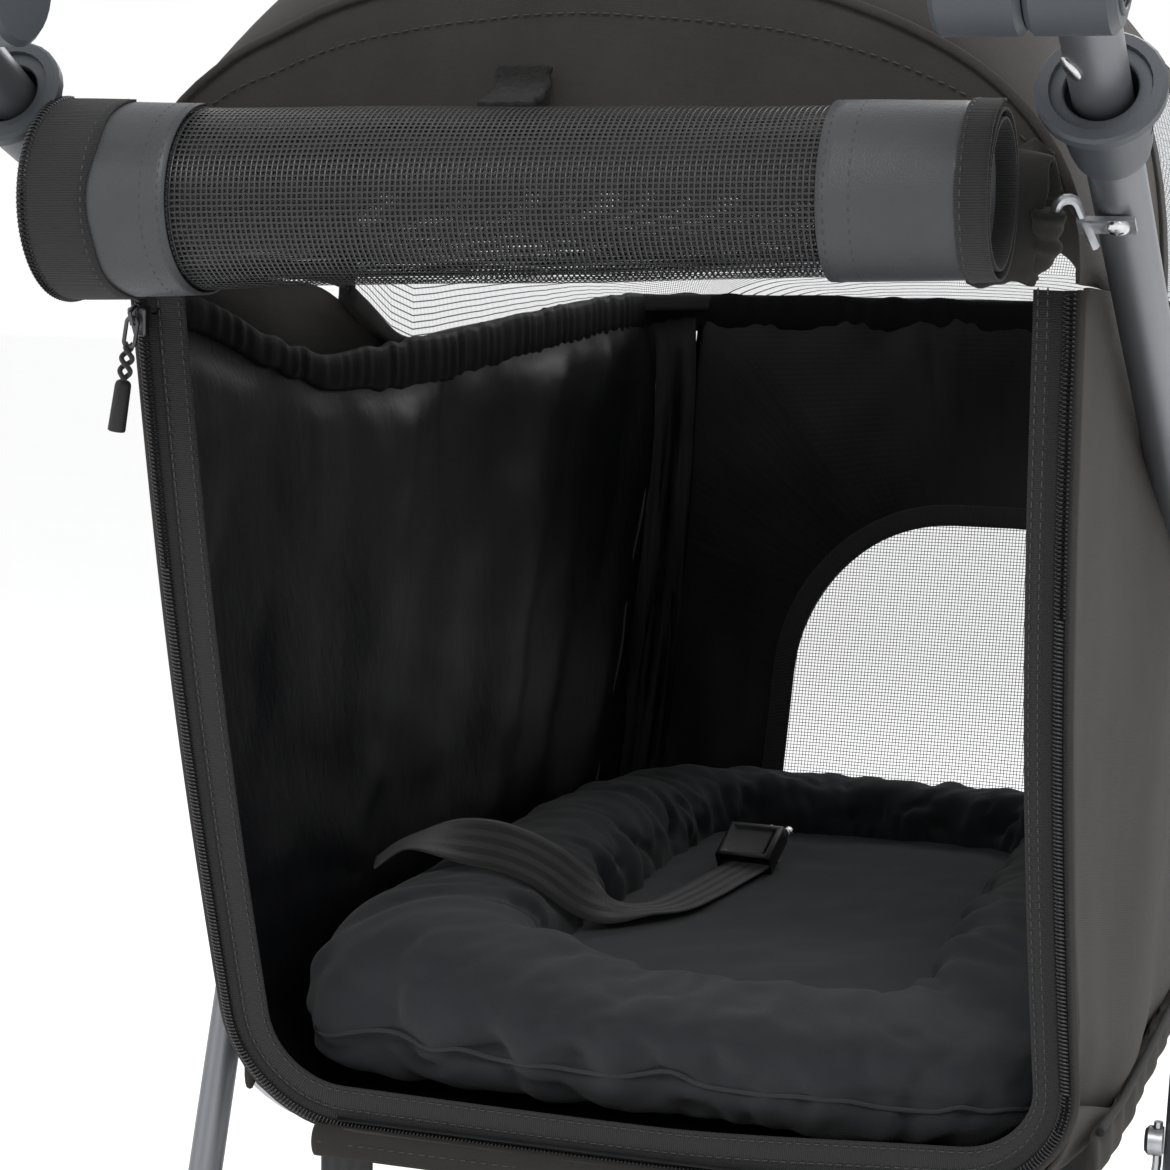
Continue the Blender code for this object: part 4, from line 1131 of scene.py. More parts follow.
def build_slider():
    """The zip's slider and its corded pull with a rubber tip."""
    low, high = (Vector(p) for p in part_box("zip_slider"))
    center = (low + high) / 2 + Vector((-0.0030, 0, 0))
    lean = math.atan(REAR_SLOPE)
    ob = fresh("cube", size=1, location=center, rotation=(lean, 0, 0))
    ob.scale = (0.0082, 0.0042, 0.0112)
    bpy.ops.object.transform_apply(location=False, rotation=False, scale=True)
    pick(ob, lambda f: f.normal.z < -0.9)
    bpy.ops.transform.resize(value=(0.62, 1, 1))
    bpy.ops.object.mode_set(mode="OBJECT")
    modify(ob, "BEVEL", width=0.0011, segments=3)
    bake_modifiers(ob)
    adopt(ob, "slider_body", "dark_metal", "slider", ("zip_slider",))
    joint = next(j for j in frame["record"]["behaviour"]["joints"] if j["name"] == "zip_pull_swing")
    pivot = Vector(joint["pos_m"]) + Vector((-0.0030, 0, 0))
    ob = fresh("cube", size=1, location=pivot - DOOR_OUT * 0.00044, rotation=(lean, 0, 0))
    ob.scale = (0.0016, 0.0052, 0.0086)
    bpy.ops.object.transform_apply(location=False, rotation=False, scale=True)
    pick(ob, lambda f: f.normal.y < -0.9)
    bpy.ops.transform.resize(value=(1, 1, 0.62))
    pick(ob, lambda f: abs(f.normal.x) > 0.9)
    bpy.ops.mesh.inset(thickness=0.0009)
    bpy.ops.mesh.bridge_edge_loops()
    bpy.ops.object.mode_set(mode="OBJECT")
    modify(ob, "BEVEL", width=0.0003, segments=2, limit_method="ANGLE", angle_limit=0.6)
    bake_modifiers(ob)
    adopt(ob, "slider_bridge", "dark_metal", "slider")
    down = Vector((-0.155, -0.02, -1)).normalized()
    top = pivot - down * 0.0005
    side = Vector((1, 0, -0.155)).normalized()
    front = side.cross(down).normalized()
    washer("pull_tab", "dark_metal", "pull", top + down * 0.0062, front, 0.0030, 0.0016,
           0.0012,
           0.0003, ("zip_pull",), down * 0.0034)
    for k, phase in ((0, 0.0), (1, math.pi)):
        path = []
        for i in range(61):
            t = i / 60
            wide = 0.0020 * math.sin(math.pi * min(t * 1.05, 1)) ** 0.6 + 0.0003
            a = phase + t * 1.6 * PI2
            path.append(top + down * (0.0105 + 0.0165 * t) + side * (math.cos(a) * wide)
                        + front * (math.sin(a) * 0.0011))
        strip(f"pull_cord_{k + 1}", path, 0.0020, 0.0020, "webbing", front, "pull",
              power=2)
    spot = top + down * 0.0350
    ob = fresh("cylinder", vertices=28, radius=0.0031, depth=0.0185, location=spot, rotation=aimed(down))
    pick(ob, lambda f: f.normal.z < -0.9)
    bpy.ops.mesh.inset(thickness=0.0010)
    bpy.ops.transform.translate(value=-down * 0.0014)
    pick(ob, lambda f: f.normal.z > 0.9)
    bpy.ops.transform.resize(value=(1.10, 1.10, 1.10))
    bpy.ops.object.mode_set(mode="OBJECT")
    modify(ob, "BEVEL", width=0.0010, segments=3, limit_method="ANGLE", angle_limit=0.6)
    bake_modifiers(ob)
    adopt(ob, "pull_tip", "tip", "pull")


def cushion_outline(u, z, count=220):
    """Even points round the cushion, from its outer edge (u is 0) to the bolster's inner edge (1)."""
    half, near, far = 0.1675 - 0.0795 * u, 0.0110 + 0.0900 * u, 0.486 - 0.046 * u
    radius, middle = 0.046 - 0.014 * u, (near + far) / 2
    line = []
    for cx, cy, start in ((half - radius, far - radius, 0.0), (radius - half, far - radius, 0.5),
                          (radius - half, near + radius, 1.0), (half - radius, near + radius, 1.5)):
        for k in range(17):
            a = (start + 0.5 * k / 16) * math.pi
            line.append(Vector((cx + radius * math.cos(a), cy + radius * math.sin(a), z)))
    line.append(line[0].copy())
    total = sum((b - a).length for a, b in zip(line, line[1:]))
    points = [p for p, _ in along(line, total / count * 0.9999)]
    start = min(range(count), key=lambda i: abs(math.atan2(points[i].y - middle, points[i].x)))
    return [points[(start + i) % count] for i in range(count)]


def turn_from(a, b):
    """The angle between two directions round the bolster."""
    return abs((a - b + math.pi) % PI2 - math.pi)


def build_cushion():
    """The floor cushion: a stuffed ring with puckered seams round a thin quilted mat."""
    count, steps, seam = 320, 56, 6.02
    edge_out, edge_in = cushion_outline(0.0, 0.0, count), cushion_outline(1.0, 0.0, count)
    rows = []
    for k in range(steps):
        a = PI2 * k / steps
        c, s = math.cos(a), math.sin(a)
        near_seam = math.exp(-(turn_from(a, seam) / 0.20) ** 2) + math.exp(-(turn_from(a, 2.75) / 0.20) ** 2)
        wide = math.exp(-(turn_from(a, seam) / 0.62) ** 2) + math.exp(-(turn_from(a, 2.75) / 0.55) ** 2)
        row = []
        for i in range(count):
            t = PI2 * i / count
            mid, radial = edge_out[i].lerp(edge_in[i], 0.5), (edge_out[i] - edge_in[i]) / 2
            near = 1 - smoothstep(0.06, 0.14, mid.y)
            sunk = 1 - 0.54 * near * smoothstep(-0.115, -0.02, mid.x) - 0.20 * smoothstep(0.34, 0.43, mid.y)
            lump = 1 + 0.060 * noise.noise(Vector((math.cos(t) * 3.4, math.sin(t) * 3.4, 1.0)))
            gather = math.sin(i * 0.50 + 2.4 * math.sin(i * 0.11)) * (near_seam * 0.0018 + wide * 0.0021)
            gather += math.sin(i * 0.19 + 1.9 * math.sin(i * 0.063) + a * 0.9) * wide * 0.0020
            where = Vector((math.cos(t) * 9, math.sin(t) * 9, a * 0.8))
            crease = -0.0078 * max(0.0, 1 - abs(noise.noise(where)) * 7) ** 1.6 * (0.25 + 0.75 * wide)
            crease += 0.0030 * noise.noise(where * 1.7 + Vector((3, 1, 8)))
            crease += 0.0012 * noise.noise(where * 4.1)
            groove = -0.0046 * math.exp(-(turn_from(a, seam) / 0.075) ** 2)
            corner = abs(math.sin(2 * math.atan2(mid.y - 0.2485, mid.x))) ** 6
            groove -= 0.0040 * corner * max(0.0, math.sin(i * 0.37 + a * 0.7)) ** 2 * max(0.0, 0.4 + 0.6 * s)
            grow = gather + crease + groove
            rx = math.copysign(abs(c) ** (2 / 2.35), c)
            rz = math.copysign(abs(s) ** (2 / 2.35), s)
            p = mid + radial * (rx * 0.985 * lump) + radial.normalized() * (grow * c)
            z = 0.0275 + rz * (0.0385 * sunk if s > 0 else 0.0365) * lump + grow * s
            floor, foot = -0.0105, foot_radius(p.y / 0.5) - 0.005
            if abs(p.x) > 0.172 - foot and z < foot:
                d = min(abs(p.x) - 0.172 + foot, foot * 0.998)
                floor = foot - 0.0128 - math.sqrt(max(foot ** 2 - d ** 2, 0)) + 0.0018
            row.append(at(p.x, p.y, max(z, floor)))
        rows.append(row)
    bolster = put("cushion_bolster", grid_mesh("cushion_bolster", rows, wrap_u=True, wrap_v=True), "twill",
                  replaces=("cushion",))
    modify(bolster, "SUBSURF", levels=1, render_levels=1)
    rows = []
    for k in range(34):
        u, row = k / 33, []
        for p in cushion_outline(0.86, 0.0, 160):
            q = Vector((0, 0.271, 0)).lerp(p, 1 - u * 0.985)
            quilt = 0.0022 * noise.noise(Vector((q.x * 22, q.y * 16, 3.0)))
            quilt += 0.0012 * noise.noise(Vector((q.x * 60, q.y * 40, 1)))
            row.append(at(q.x, q.y, 0.0285 + 0.0035 * smoothstep(0, 0.3, u) + quilt))
        rows.append(row)
    bottom = [[Vector((p.x, p.y, SILL.z - 0.008)) for p in rows[0]]]
    mat = put("cushion_mat", grid_mesh("cushion_mat", bottom + rows, wrap_u=True, caps=True), "pad_twill")
    solid = bolster.evaluated_get(bpy.context.evaluated_depsgraph_get())
    mesh = solid.to_mesh()
    tree = BVHTree.FromPolygons([v.co.copy() for v in mesh.vertices], [f.vertices[:] for f in mesh.polygons])
    solid.to_mesh_clear()
    line, ring_out, ring_in = [], cushion_outline(0.0, 0, 420), cushion_outline(1.0, 0, 420)
    for outer, inner in zip(ring_out, ring_in):
        p = at(*(outer.lerp(inner, 0.5) + (outer - inner) / 2 * abs(math.cos(seam)) ** 0.85 * 1.05))
        p.z = SILL.z + 0.0275 - 0.0385 * abs(math.sin(seam)) ** 0.85
        hit = tree.find_nearest(p)
        line.append(hit[0] + hit[1] * 0.0006)
    for _ in range(4):
        line = [(line[i - 1] + line[i] * 2 + line[(i + 1) % len(line)]) / 4 for i in range(len(line))]
    strip("cushion_piping", line, 0.0018, 0.0018, "pad_twill", Vector((0, 0, 1)), power=2,
          count=8,
          closed=True)


def build_tether():
    """The safety tether: flat webbing over the bolster to a buckle on the mat."""
    points = [at(-0.1635, 0.112, 0.0700), at(-0.150, 0.117, 0.0795), at(-0.130, 0.124, 0.0810),
              at(-0.110, 0.136, 0.0770),
              at(-0.094, 0.152, 0.0660), at(-0.081, 0.168, 0.0510), at(-0.069, 0.188, 0.0410),
              at(-0.056, 0.214, 0.0362), at(-0.050, 0.250, 0.0352), at(-0.046, 0.290, 0.0352),
              at(-0.041, 0.340, 0.0352)]
    path = smooth_path(points, 8)
    rolls = []
    for k, p in enumerate(path):
        t = k / (len(path) - 1)
        twist = smoothstep(0.08, 0.30, t) * (1 - smoothstep(0.48, 0.66, t))
        rolls.append(Vector((0.55 * twist, -0.95 * twist, 1 - 0.45 * twist)).normalized())
    strap = strip("tether_webbing", path, 0.0240, 0.0015, "webbing", rolls,
                  replaces=("tether_strap",))
    total = sum((b - a).length for a, b in zip(path, path[1:]))
    low, high = (Vector(p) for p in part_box("tether_buckle"))
    center = (low + high) / 2
    turn = math.atan2(0.105, 0.011) - math.pi / 2
    ob = fresh("cube", size=1, location=center)
    ob.scale = (0.0300, 0.0270, 0.0112)
    bpy.ops.object.transform_apply(location=False, rotation=False, scale=True)
    pick(ob, lambda f: f.normal.z > 0.9)
    bpy.ops.mesh.inset(thickness=0.0030)
    bpy.ops.transform.translate(value=(0, 0, 0.0008))
    bpy.ops.mesh.inset(thickness=0.0018)
    bpy.ops.transform.translate(value=(0, 0, -0.0018))
    pick(ob, lambda f: f.normal.y < -0.9)
    bpy.ops.mesh.inset(thickness=0.0026)
    bpy.ops.transform.translate(value=(0, 0.0120, 0))
    bpy.ops.object.mode_set(mode="OBJECT")
    modify(ob, "BEVEL", width=0.0010, segments=3, limit_method="ANGLE", angle_limit=0.7)
    bake_modifiers(ob)
    ob.location.y += 0.0090
    ob.location.z += 0.0055
    ob.rotation_euler = (math.radians(30), 0, turn)
    adopt(ob, "buckle_body", "black", "buckle", ("tether_buckle",))
    for k, dx in enumerate((0.000, 0.0095)):
        p = center + Vector((dx + 0.006, 0.0225, 0.0125))
        ob = fresh("cylinder", vertices=20, radius=0.0028, depth=0.0060, location=p,
                   rotation=(math.pi / 2, 0, turn))
        pick(ob, lambda f: abs(f.normal.z) > 0.9)
        bpy.ops.mesh.inset(thickness=0.0008)
        bpy.ops.object.mode_set(mode="OBJECT")
        modify(ob, "BEVEL", width=0.0005, segments=2, limit_method="ANGLE", angle_limit=0.6)
        bake_modifiers(ob)
        adopt(ob, f"buckle_pin_{k + 1}", "bright", "buckle")


def build_hoop():
    """Cloth sleeves on the rim wire, and cross-recessed screws in its flattened ends."""
    for side, name in ((-1, "left"), (1, "right")):
        pts = [(0.1705, -0.1190, 0.3640), (0.1690, -0.1150, 0.3560), (0.1660, -0.1115, 0.3490),
               (0.1560, -0.1095, 0.3460), (0.1420, -0.1085, 0.3445)]
        path = smooth_path([at(side * x, y, z) for x, y, z in pts], 8)
        wob = lambda t: 1 + 0.14 * math.sin(t * 23) + 0.10 * math.sin(t * 41 + 1)
        strip("wire_sleeve_" + name, path, 0.0100, 0.0080, "hem_canvas",
              Vector((0, 1, 0.2)).normalized(),
              power=2.4, count=20, shape=wob)
        loop = smooth_path([at(side * 0.1640, -0.0990, 0.3690), at(side * 0.1635, -0.1035, 0.3800),
                            at(side * 0.1630, -0.1110, 0.3822), at(side * 0.1625, -0.1155, 0.3740),
                            at(side * 0.1612, -0.1165, 0.3620), at(side * 0.1598, -0.1155, 0.3510),
                            at(side * 0.1590, -0.1110, 0.3440), at(side * 0.1590, -0.1040, 0.3430)], 6)
        strip("wire_loop_" + name, loop, 0.0135, 0.0030, "hem_canvas",
              Vector((0, -1, 0.3)).normalized(),
              power=3, count=16, shape=lambda t: 1 + 0.08 * math.sin(t * 31))
        low, high = (Vector(p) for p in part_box("rim_screw_" + name))
        center = (low + high) / 2
        off = Vector((0, -math.cos(TUBE_LEAN), -math.sin(TUBE_LEAN)))
        ob = fresh("uv_sphere", segments=32, ring_count=16, radius=0.0041, location=center - off * 0.0004,
                   rotation=aimed(off))
        ob.scale = (1, 1, 0.62)
        bpy.ops.object.transform_apply(location=False, rotation=False, scale=True)
        for bar in ((0.0044, 0.0009), (0.0009, 0.0044)):
            cut = fresh("cube", size=1, location=center + off * 0.0022, rotation=aimed(off))
            cut.scale = (bar[0], bar[1], 0.0034)
            modify(ob, "BOOLEAN", operation="DIFFERENCE", solver="EXACT", object=cut)
            bake_modifiers(ob)
            bpy.data.objects.remove(cut, do_unlink=True)
        adopt(ob, "screw_head_" + name, "bright", "chassis", ("rim_screw_" + name,), angle=30)


def build_inserts():
    """The moulded lips inside each lock collar's mouth, close round its tube."""
    down = (tube_point(0, 1) - tube_point(0, 0)).normalized()
    for side, name in ((-1, "left"), (1, "right")):
        washer("collar_lip_" + name, "slate", "collar_" + name,
               tube_point(side * TUBE_X, 0.0012), down,
               0.0164, 0.0114, 0.0034, 0.0009)


def build_rivets():
    """Domed rivets on the upper tubes."""
    for side, name in ((-1, "left"), (1, "right")):
        out = Vector((-side * 0.42, -0.50, -0.30)).normalized()
        aim = tube_point(0, 0) - tube_point(0, 1)
        out = (out - aim.normalized() * out.dot(aim.normalized())).normalized()
        center = tube_point(side * TUBE_X, -0.022) + out * 0.0094
        ob = fresh("uv_sphere", segments=28, ring_count=14, radius=0.0036, location=center,
                   rotation=aimed(out))
        ob.scale = (1.0, 1.25, 0.45)
        bpy.ops.object.transform_apply(location=False, rotation=False, scale=True)
        pick(ob, lambda f: f.normal.z > 0.93)
        bpy.ops.mesh.inset(thickness=0.0003, use_boundary=True)
        bpy.ops.object.mode_set(mode="OBJECT")
        adopt(ob, "tube_rivet_" + name, "bright", "chassis")


def build_basket():
    """The storage tray: net walls with taped edges on a canvas base, hung from four straps."""
    near, far, low, high, half = 0.020, 0.305, -0.220, -0.130, 0.145
    def loop(z, grow):
        pts = []
        w, a, b, r = half + grow, near - grow, far + grow, 0.018
        for cx, cy, t0 in ((w - r, a + r, 1.5), (w - r, b - r, 0.0), (-w + r, b - r, 0.5),
                           (-w + r, a + r, 1.0)):
            for k in range(7):
                t = (t0 + 0.5 * k / 6) * math.pi
                pts.append(Vector((cx + r * math.cos(t), cy + r * math.sin(t), z)))
        pts.append(pts[0].copy())
        return [p for p, _ in along(pts, 0.008)][:-1]
    count = min(len(loop(low, 0)), len(loop(high, 0.006)))
    rows = []
    for j in range(13):
        t = j / 12
        ring = loop(low + (high - low) * t, 0.006 * t)
        idx = [ring[int(i * len(ring) / count)] for i in range(count)]
        bow = 0.004 * math.sin(math.pi * t)
        rows.append([at(p.x * (1 + bow * 2), p.y, p.z - 0.005 * math.sin(i * 0.31) ** 2 * t * t) for i,
                     p in enumerate(idx)])
    wall = put("basket_net", grid_mesh("basket_net", rows, wrap_u=True), "basket_net",
               replaces=("basket",))
    base = loop(low, 0)
    disc = []
    for k in range(10):
        share = max(1 - k / 9, 0.001)
        disc.append([at(p.x * share, 0.1625 + (p.y - 0.1625) * share,
                        low + 0.0012 - 0.003 * math.sin(math.pi * k / 18))
                     for p in base])
    floor = cloth("basket_base", disc, "canvas", 0.0022, 1.0, 1, wrap_u=True)
    bm = bmesh.new()
    bm.from_mesh(floor.data)
    bmesh.ops.remove_doubles(bm, verts=bm.verts, dist=0.0006)
    bmesh.ops.recalc_face_normals(bm, faces=bm.faces)
    bm.to_mesh(floor.data)
    bm.free()
    for name, z, grow in (("lower", low + 0.004, 0.0008), ("upper", high - 0.004, 0.0066)):
        ring = [at(p.x, p.y, p.z) for p in loop(z, grow)]
        ups = [Vector((p.x, p.y - SILL.y - 0.1625, 0)).normalized() for p in ring]
        strip("basket_band_" + name, ring, 0.0140, 0.0026, "tape", ups, closed=True)
    for k, (x, y) in enumerate(((-0.135, near - 0.003), (0.135, near - 0.003), (-0.135, far + 0.003),
                                (0.135, far + 0.003))):
        sign = -1 if y < 0.1 else 1
        path = smooth_path([at(x, y + sign * 0.0026, high - 0.030), at(x, y + sign * 0.0032, high),
                            at(x, y, -0.075), at(x, y, -0.0205)], 8)
        strip(f"basket_strap_{k + 1}", path, 0.0240, 0.0018, "webbing", Vector((0, 1, 0)))


def build_hubs():
    """Trim on the handle hubs: a raised ring and a dished button face."""
    hub = Vector(next(j for j in frame["record"]["behaviour"]["joints"]
                      if j["name"] == "handle_tilt")["pos_m"])
    for side, name in ((-1, "left"), (1, "right")):
        out = Vector((side, 0, 0))
        washer("hub_ring_" + name, "slate", "chassis", hub + out * 0.2042, out, 0.0154,
               0.0132, 0.0022,
               0.0006)
        ob = fresh("cylinder", vertices=40, radius=0.0088, depth=0.0012, location=hub + out * 0.2101,
                   rotation=(0, math.pi / 2, 0))
        pick(ob, lambda f: f.normal.z * side > 0.9)
        bpy.ops.mesh.inset(thickness=0.0016)
        bpy.ops.transform.translate(value=-out * 0.0004)
        bpy.ops.object.mode_set(mode="OBJECT")
        modify(ob, "BEVEL", width=0.0004, segments=2, limit_method="ANGLE", angle_limit=0.6)
        bake_modifiers(ob)
        adopt(ob, "button_face_" + name, "teal", "button_" + name)


SLOT_FINISH = {"frame_tube": "gunmetal", "dark_plastic": "slate", "teal_button": "teal", "foam_grip": "foam",
               "zinc_wire": "zinc", "screw_steel": "bright", "wheel_plastic": "wheel", "tyre_rubber": "tyre",
               "canvas": "canvas", "zip_tape": "tape", "door_cloth": "coated", "cushion_twill": "twill",
               "buckle_plastic": "black"}


def smooth_group():
    """A modifier that welds a node's triangles and shades its shallow edges smooth."""
    tree = bpy.data.node_groups.new("weld_and_smooth", "GeometryNodeTree")
    tree.interface.new_socket("Geometry", in_out="INPUT", socket_type="NodeSocketGeometry")
    tree.interface.new_socket("Geometry", in_out="OUTPUT", socket_type="NodeSocketGeometry")
    new, link = tree.nodes.new, tree.links.new
    start, end = new("NodeGroupInput"), new("NodeGroupOutput")
    weld = new("GeometryNodeMergeByDistance")
    weld.inputs["Distance"].default_value = 0.00002
    face, edge = new("GeometryNodeSetShadeSmooth"), new("GeometryNodeSetShadeSmooth")
    edge.domain = "EDGE"
    angle, sharp = new("GeometryNodeInputMeshEdgeAngle"), new("FunctionNodeCompare")
    sharp.data_type, sharp.operation = "FLOAT", "GREATER_THAN"
    sharp.inputs[1].default_value = math.radians(32)
    link(start.outputs[0], weld.inputs["Geometry"])
    link(weld.outputs[0], face.inputs["Geometry"])
    link(face.outputs[0], edge.inputs["Geometry"])
    link(angle.outputs[0], sharp.inputs[0])
    link(sharp.outputs[0], edge.inputs["Selection"])
    edge.inputs["Shade Smooth"].default_value = False
    link(edge.outputs[0], end.inputs[0])
    return tree


def finish_frame():
    """Gives every CAD node its finish, and smooths how its round faces are shaded."""
    tree = smooth_group()
    slots = {entry["node"]: entry["material_slot"] for entry in frame["record"]["subparts"]}
    for name, ob in frame["nodes"].items():
        material = finish(SLOT_FINISH[slots[name]])
        if not ob.material_slots:
            ob.data.materials.append(material)
        for slot in ob.material_slots:
            slot.material = material
        modify(ob, "NODES", node_group=tree)


def build_stage():
    """The pale floor, the soft lights and the camera."""
    world = bpy.context.scene.world or bpy.data.worlds.new("studio")
    bpy.context.scene.world = world
    world.use_nodes = True
    world.node_tree.nodes["Background"].inputs[0].default_value = (1.0, 1.0, 1.0, 1.0)
    world.node_tree.nodes["Background"].inputs[1].default_value = 1.0
    bpy.ops.object.select_all(action="DESELECT")
    bpy.ops.mesh.primitive_plane_add(size=40, location=(0, 0, -0.0005))
    floor = bpy.context.object
    floor.name = "studio_floor"
    floor.data.materials.append(finish("floor"))
    for name, place, aim, size, power in (("key", (0.7, -2.3, 2.5), (0, 0, 0.7), 1.2, 46),
                                          ("fill", (-1.9, -1.5, 1.5), (0, 0, 0.6), 1.6, 10),
                                          ("rim", (0.4, 2.3, 2.2), (0, 0, 0.7), 1.6, 30)):
        light = bpy.data.lights.new(name, "AREA")
        light.size, light.energy = size, power
        lamp = bpy.data.objects.new(name, light)
        lamp.location = place
        lamp.rotation_euler = (Vector(aim) - Vector(place)).to_track_quat("-Z", "Y").to_euler()
        bpy.context.scene.collection.objects.link(lamp)
    azimuth, rise, roll = math.radians(18.65), math.radians(6.90), math.radians(1.02)
    camera = bpy.data.cameras.new("camera")
    camera.sensor_width, camera.lens = 36, 2655 / 1170 * 36
    eye = bpy.data.objects.new("camera", camera)
    right = Vector((math.cos(azimuth), math.sin(azimuth), 0))
    ahead = Vector((-math.sin(azimuth) * math.cos(rise), math.cos(azimuth) * math.cos(rise),
                    -math.sin(rise)))
    over = right.cross(ahead)
    turned = right * math.cos(roll) + over * math.sin(roll)
    over = over * math.cos(roll) - right * math.sin(roll)
    turn = Matrix((turned, over, -ahead)).transposed().to_4x4()
    eye.matrix_world = Matrix.Translation(at(0.308, -0.991, 0.345)) @ turn
    bpy.context.scene.collection.objects.link(eye)
    bpy.context.scene.camera = eye
    bpy.context.scene.view_settings.view_transform = "Standard"


# ---------------------------------------------------------------- the add-on


class StrollerSizes(bpy.types.PropertyGroup):
    """Sizes that a user may want to change."""

    net_pitch: bpy.props.FloatProperty(name="Net pitch",
                                       description="Distance between the door net's threads",
                                       default=0.00195, unit="LENGTH")
    canvas_color: bpy.props.FloatVectorProperty(name="Canvas", description="Colour of the outer canvas",
                                                default=(0.0225, 0.0205, 0.0190), subtype="COLOR")


def run(build):
    """Runs one build function for an operator, and raises an error if it leaves nothing new to look at."""
    before = len(bpy.data.objects) + len(bpy.data.node_groups)
    build()
    if len(bpy.data.objects) + len(bpy.data.node_groups) <= before:
        raise RuntimeError(build.__name__ + " made nothing")
    return {"FINISHED"}


class STROLLER_OT_stage(bpy.types.Operator):
    """Add the floor, the lights and the camera"""

    bl_idname = "stroller.stage"
    bl_label = "Stage"
    bl_options = {"REGISTER", "UNDO"}

    def execute(self, context):
        return run(build_stage)


class STROLLER_OT_frame_finish(bpy.types.Operator):
    """Give the frame's nodes their finishes"""

    bl_idname = "stroller.frame_finish"
    bl_label = "Frame finish"
    bl_options = {"REGISTER", "UNDO"}

    def execute(self, context):
        return run(finish_frame)


class STROLLER_OT_tether(bpy.types.Operator):
    """Build the tether and its buckle"""

    bl_idname = "stroller.tether"
    bl_label = "Tether"
    bl_options = {"REGISTER", "UNDO"}

    def execute(self, context):
        return run(build_tether)


class STROLLER_OT_sides(bpy.types.Operator):
    """Build the cabin's outer canvas"""

    bl_idname = "stroller.sides"
    bl_label = "Cabin canvas"
    bl_options = {"REGISTER", "UNDO"}

    def execute(self, context):
        return run(build_sides)


class STROLLER_OT_lining(bpy.types.Operator):
    """Build the satin lining and the front window"""

    bl_idname = "stroller.lining"
    bl_label = "Lining"
    bl_options = {"REGISTER", "UNDO"}

    def execute(self, context):
        return run(build_lining)


class STROLLER_OT_elastic_rim(bpy.types.Operator):
    """Build the gathered rim"""

    bl_idname = "stroller.elastic_rim"
    bl_label = "Elastic rim"
    bl_options = {"REGISTER", "UNDO"}

    def execute(self, context):
        return run(build_rim)


class STROLLER_OT_hood(bpy.types.Operator):
    """Build the hood's canvas, net and seams"""

    bl_idname = "stroller.hood"
    bl_label = "Hood"
    bl_options = {"REGISTER", "UNDO"}

    def execute(self, context):
        return run(build_hood)


class STROLLER_OT_door_zip(bpy.types.Operator):
    """Build the door's tape, coil and hem"""

    bl_idname = "stroller.door_zip"
    bl_label = "Door zip"
    bl_options = {"REGISTER", "UNDO"}

    def execute(self, context):
        return run(build_zip)


class STROLLER_OT_rolled_door(bpy.types.Operator):
    """Build the rolled-up door"""

    bl_idname = "stroller.rolled_door"
    bl_label = "Rolled door"
    bl_options = {"REGISTER", "UNDO"}

    def execute(self, context):
        return run(build_roll)


class STROLLER_OT_roll_tab(bpy.types.Operator):
    """Build the tab that holds the roll"""

    bl_idname = "stroller.roll_tab"
    bl_label = "Roll tab"
    bl_options = {"REGISTER", "UNDO"}

    def execute(self, context):
        return run(build_tab)


class STROLLER_OT_slider(bpy.types.Operator):
    """Build the slider and its pull"""

    bl_idname = "stroller.slider"
    bl_label = "Zip slider"
    bl_options = {"REGISTER", "UNDO"}

    def execute(self, context):
        return run(build_slider)


class STROLLER_OT_cushion(bpy.types.Operator):
    """Build the cushion"""

    bl_idname = "stroller.cushion"
    bl_label = "Cushion"
    bl_options = {"REGISTER", "UNDO"}

    def execute(self, context):
        return run(build_cushion)


class STROLLER_OT_rim_hoop(bpy.types.Operator):
    """Build the rim wire's sleeves and screws"""

    bl_idname = "stroller.rim_hoop"
    bl_label = "Rim wire trim"
    bl_options = {"REGISTER", "UNDO"}

    def execute(self, context):
        return run(build_hoop)


class STROLLER_OT_collar_inserts(bpy.types.Operator):
    """Build the rings in the collars' mouths"""

    bl_idname = "stroller.collar_inserts"
    bl_label = "Collar inserts"
    bl_options = {"REGISTER", "UNDO"}

    def execute(self, context):
        return run(build_inserts)


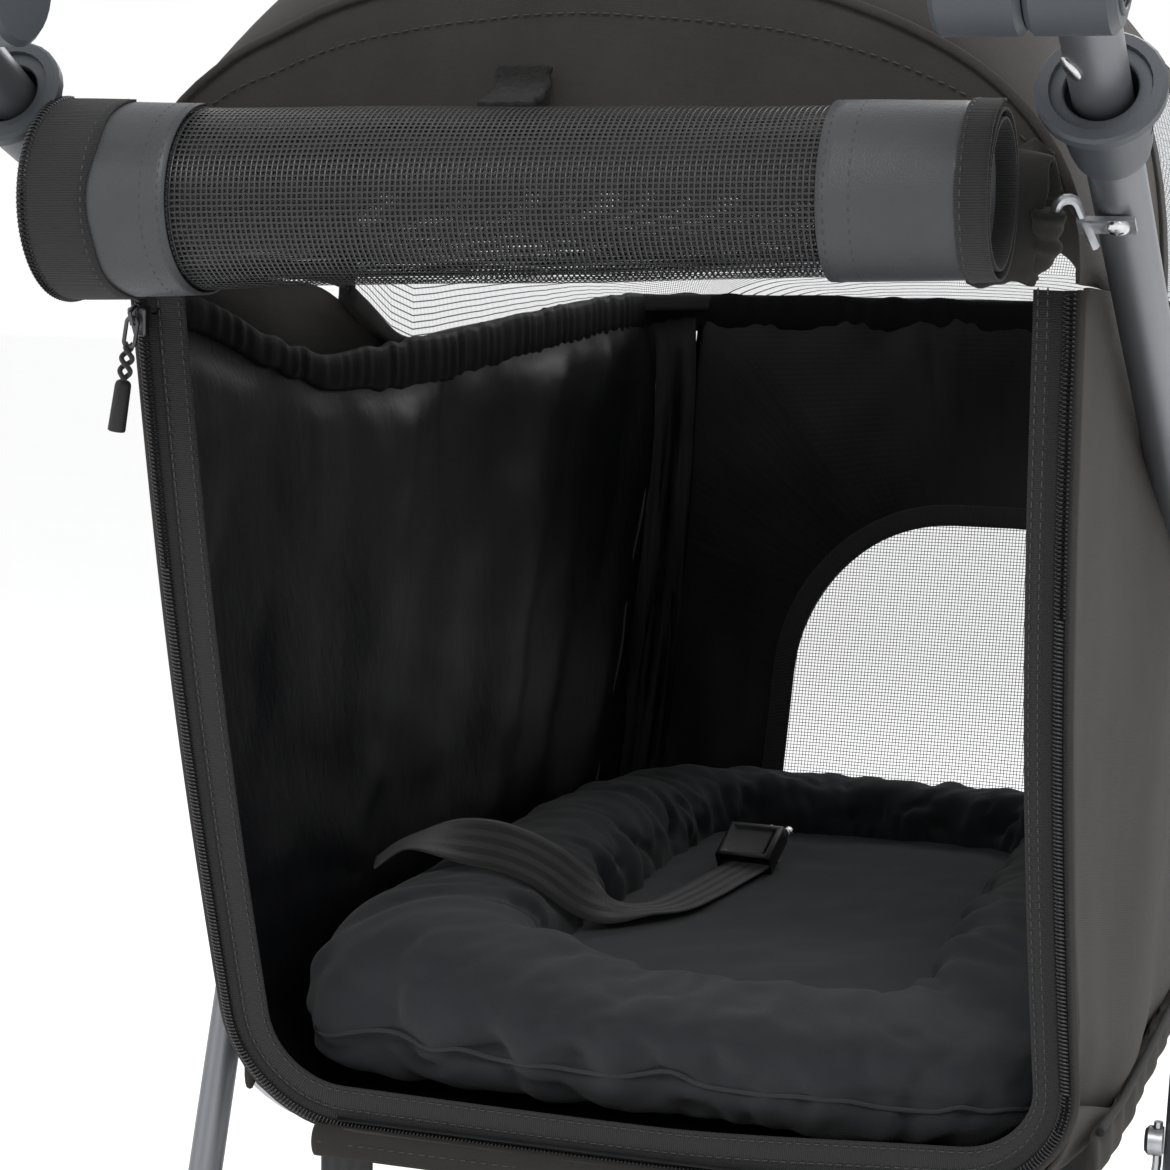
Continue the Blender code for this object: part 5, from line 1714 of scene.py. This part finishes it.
class STROLLER_OT_rivets(bpy.types.Operator):
    """Build the tube rivets"""

    bl_idname = "stroller.rivets"
    bl_label = "Rivets"
    bl_options = {"REGISTER", "UNDO"}

    def execute(self, context):
        return run(build_rivets)


class STROLLER_OT_basket(bpy.types.Operator):
    """Build the storage tray"""

    bl_idname = "stroller.basket"
    bl_label = "Basket"
    bl_options = {"REGISTER", "UNDO"}

    def execute(self, context):
        return run(build_basket)


class STROLLER_OT_hub_trim(bpy.types.Operator):
    """Build the hubs' rings and button faces"""

    bl_idname = "stroller.hub_trim"
    bl_label = "Hub trim"
    bl_options = {"REGISTER", "UNDO"}

    def execute(self, context):
        return run(build_hubs)


OPERATORS = (
    STROLLER_OT_stage,
    STROLLER_OT_frame_finish,
    STROLLER_OT_tether,
    STROLLER_OT_sides,
    STROLLER_OT_lining,
    STROLLER_OT_elastic_rim,
    STROLLER_OT_hood,
    STROLLER_OT_door_zip,
    STROLLER_OT_rolled_door,
    STROLLER_OT_roll_tab,
    STROLLER_OT_slider,
    STROLLER_OT_cushion,
    STROLLER_OT_rim_hoop,
    STROLLER_OT_collar_inserts,
    STROLLER_OT_rivets,
    STROLLER_OT_basket,
    STROLLER_OT_hub_trim,
)


class STROLLER_PT_panel(bpy.types.Panel):
    """Lists the stroller's pieces in the sidebar."""

    bl_label = "Stroller"
    bl_space_type = "VIEW_3D"
    bl_region_type = "UI"
    bl_category = "Stroller"

    def draw(self, context):
        for operator in OPERATORS:
            self.layout.operator(operator.bl_idname)


def register():
    bpy.utils.register_class(StrollerSizes)
    bpy.types.Scene.stroller = bpy.props.PointerProperty(type=StrollerSizes)
    for operator in OPERATORS:
        bpy.utils.register_class(operator)
    bpy.utils.register_class(STROLLER_PT_panel)


def unregister():
    bpy.utils.unregister_class(STROLLER_PT_panel)
    for operator in OPERATORS:
        bpy.utils.unregister_class(operator)
    del bpy.types.Scene.stroller
    bpy.utils.unregister_class(StrollerSizes)


def main():
    register()
    for operator in OPERATORS:
        group, name = operator.bl_idname.split(".")
        getattr(getattr(bpy.ops, group), name)()


if __name__ == "__main__":
    main()
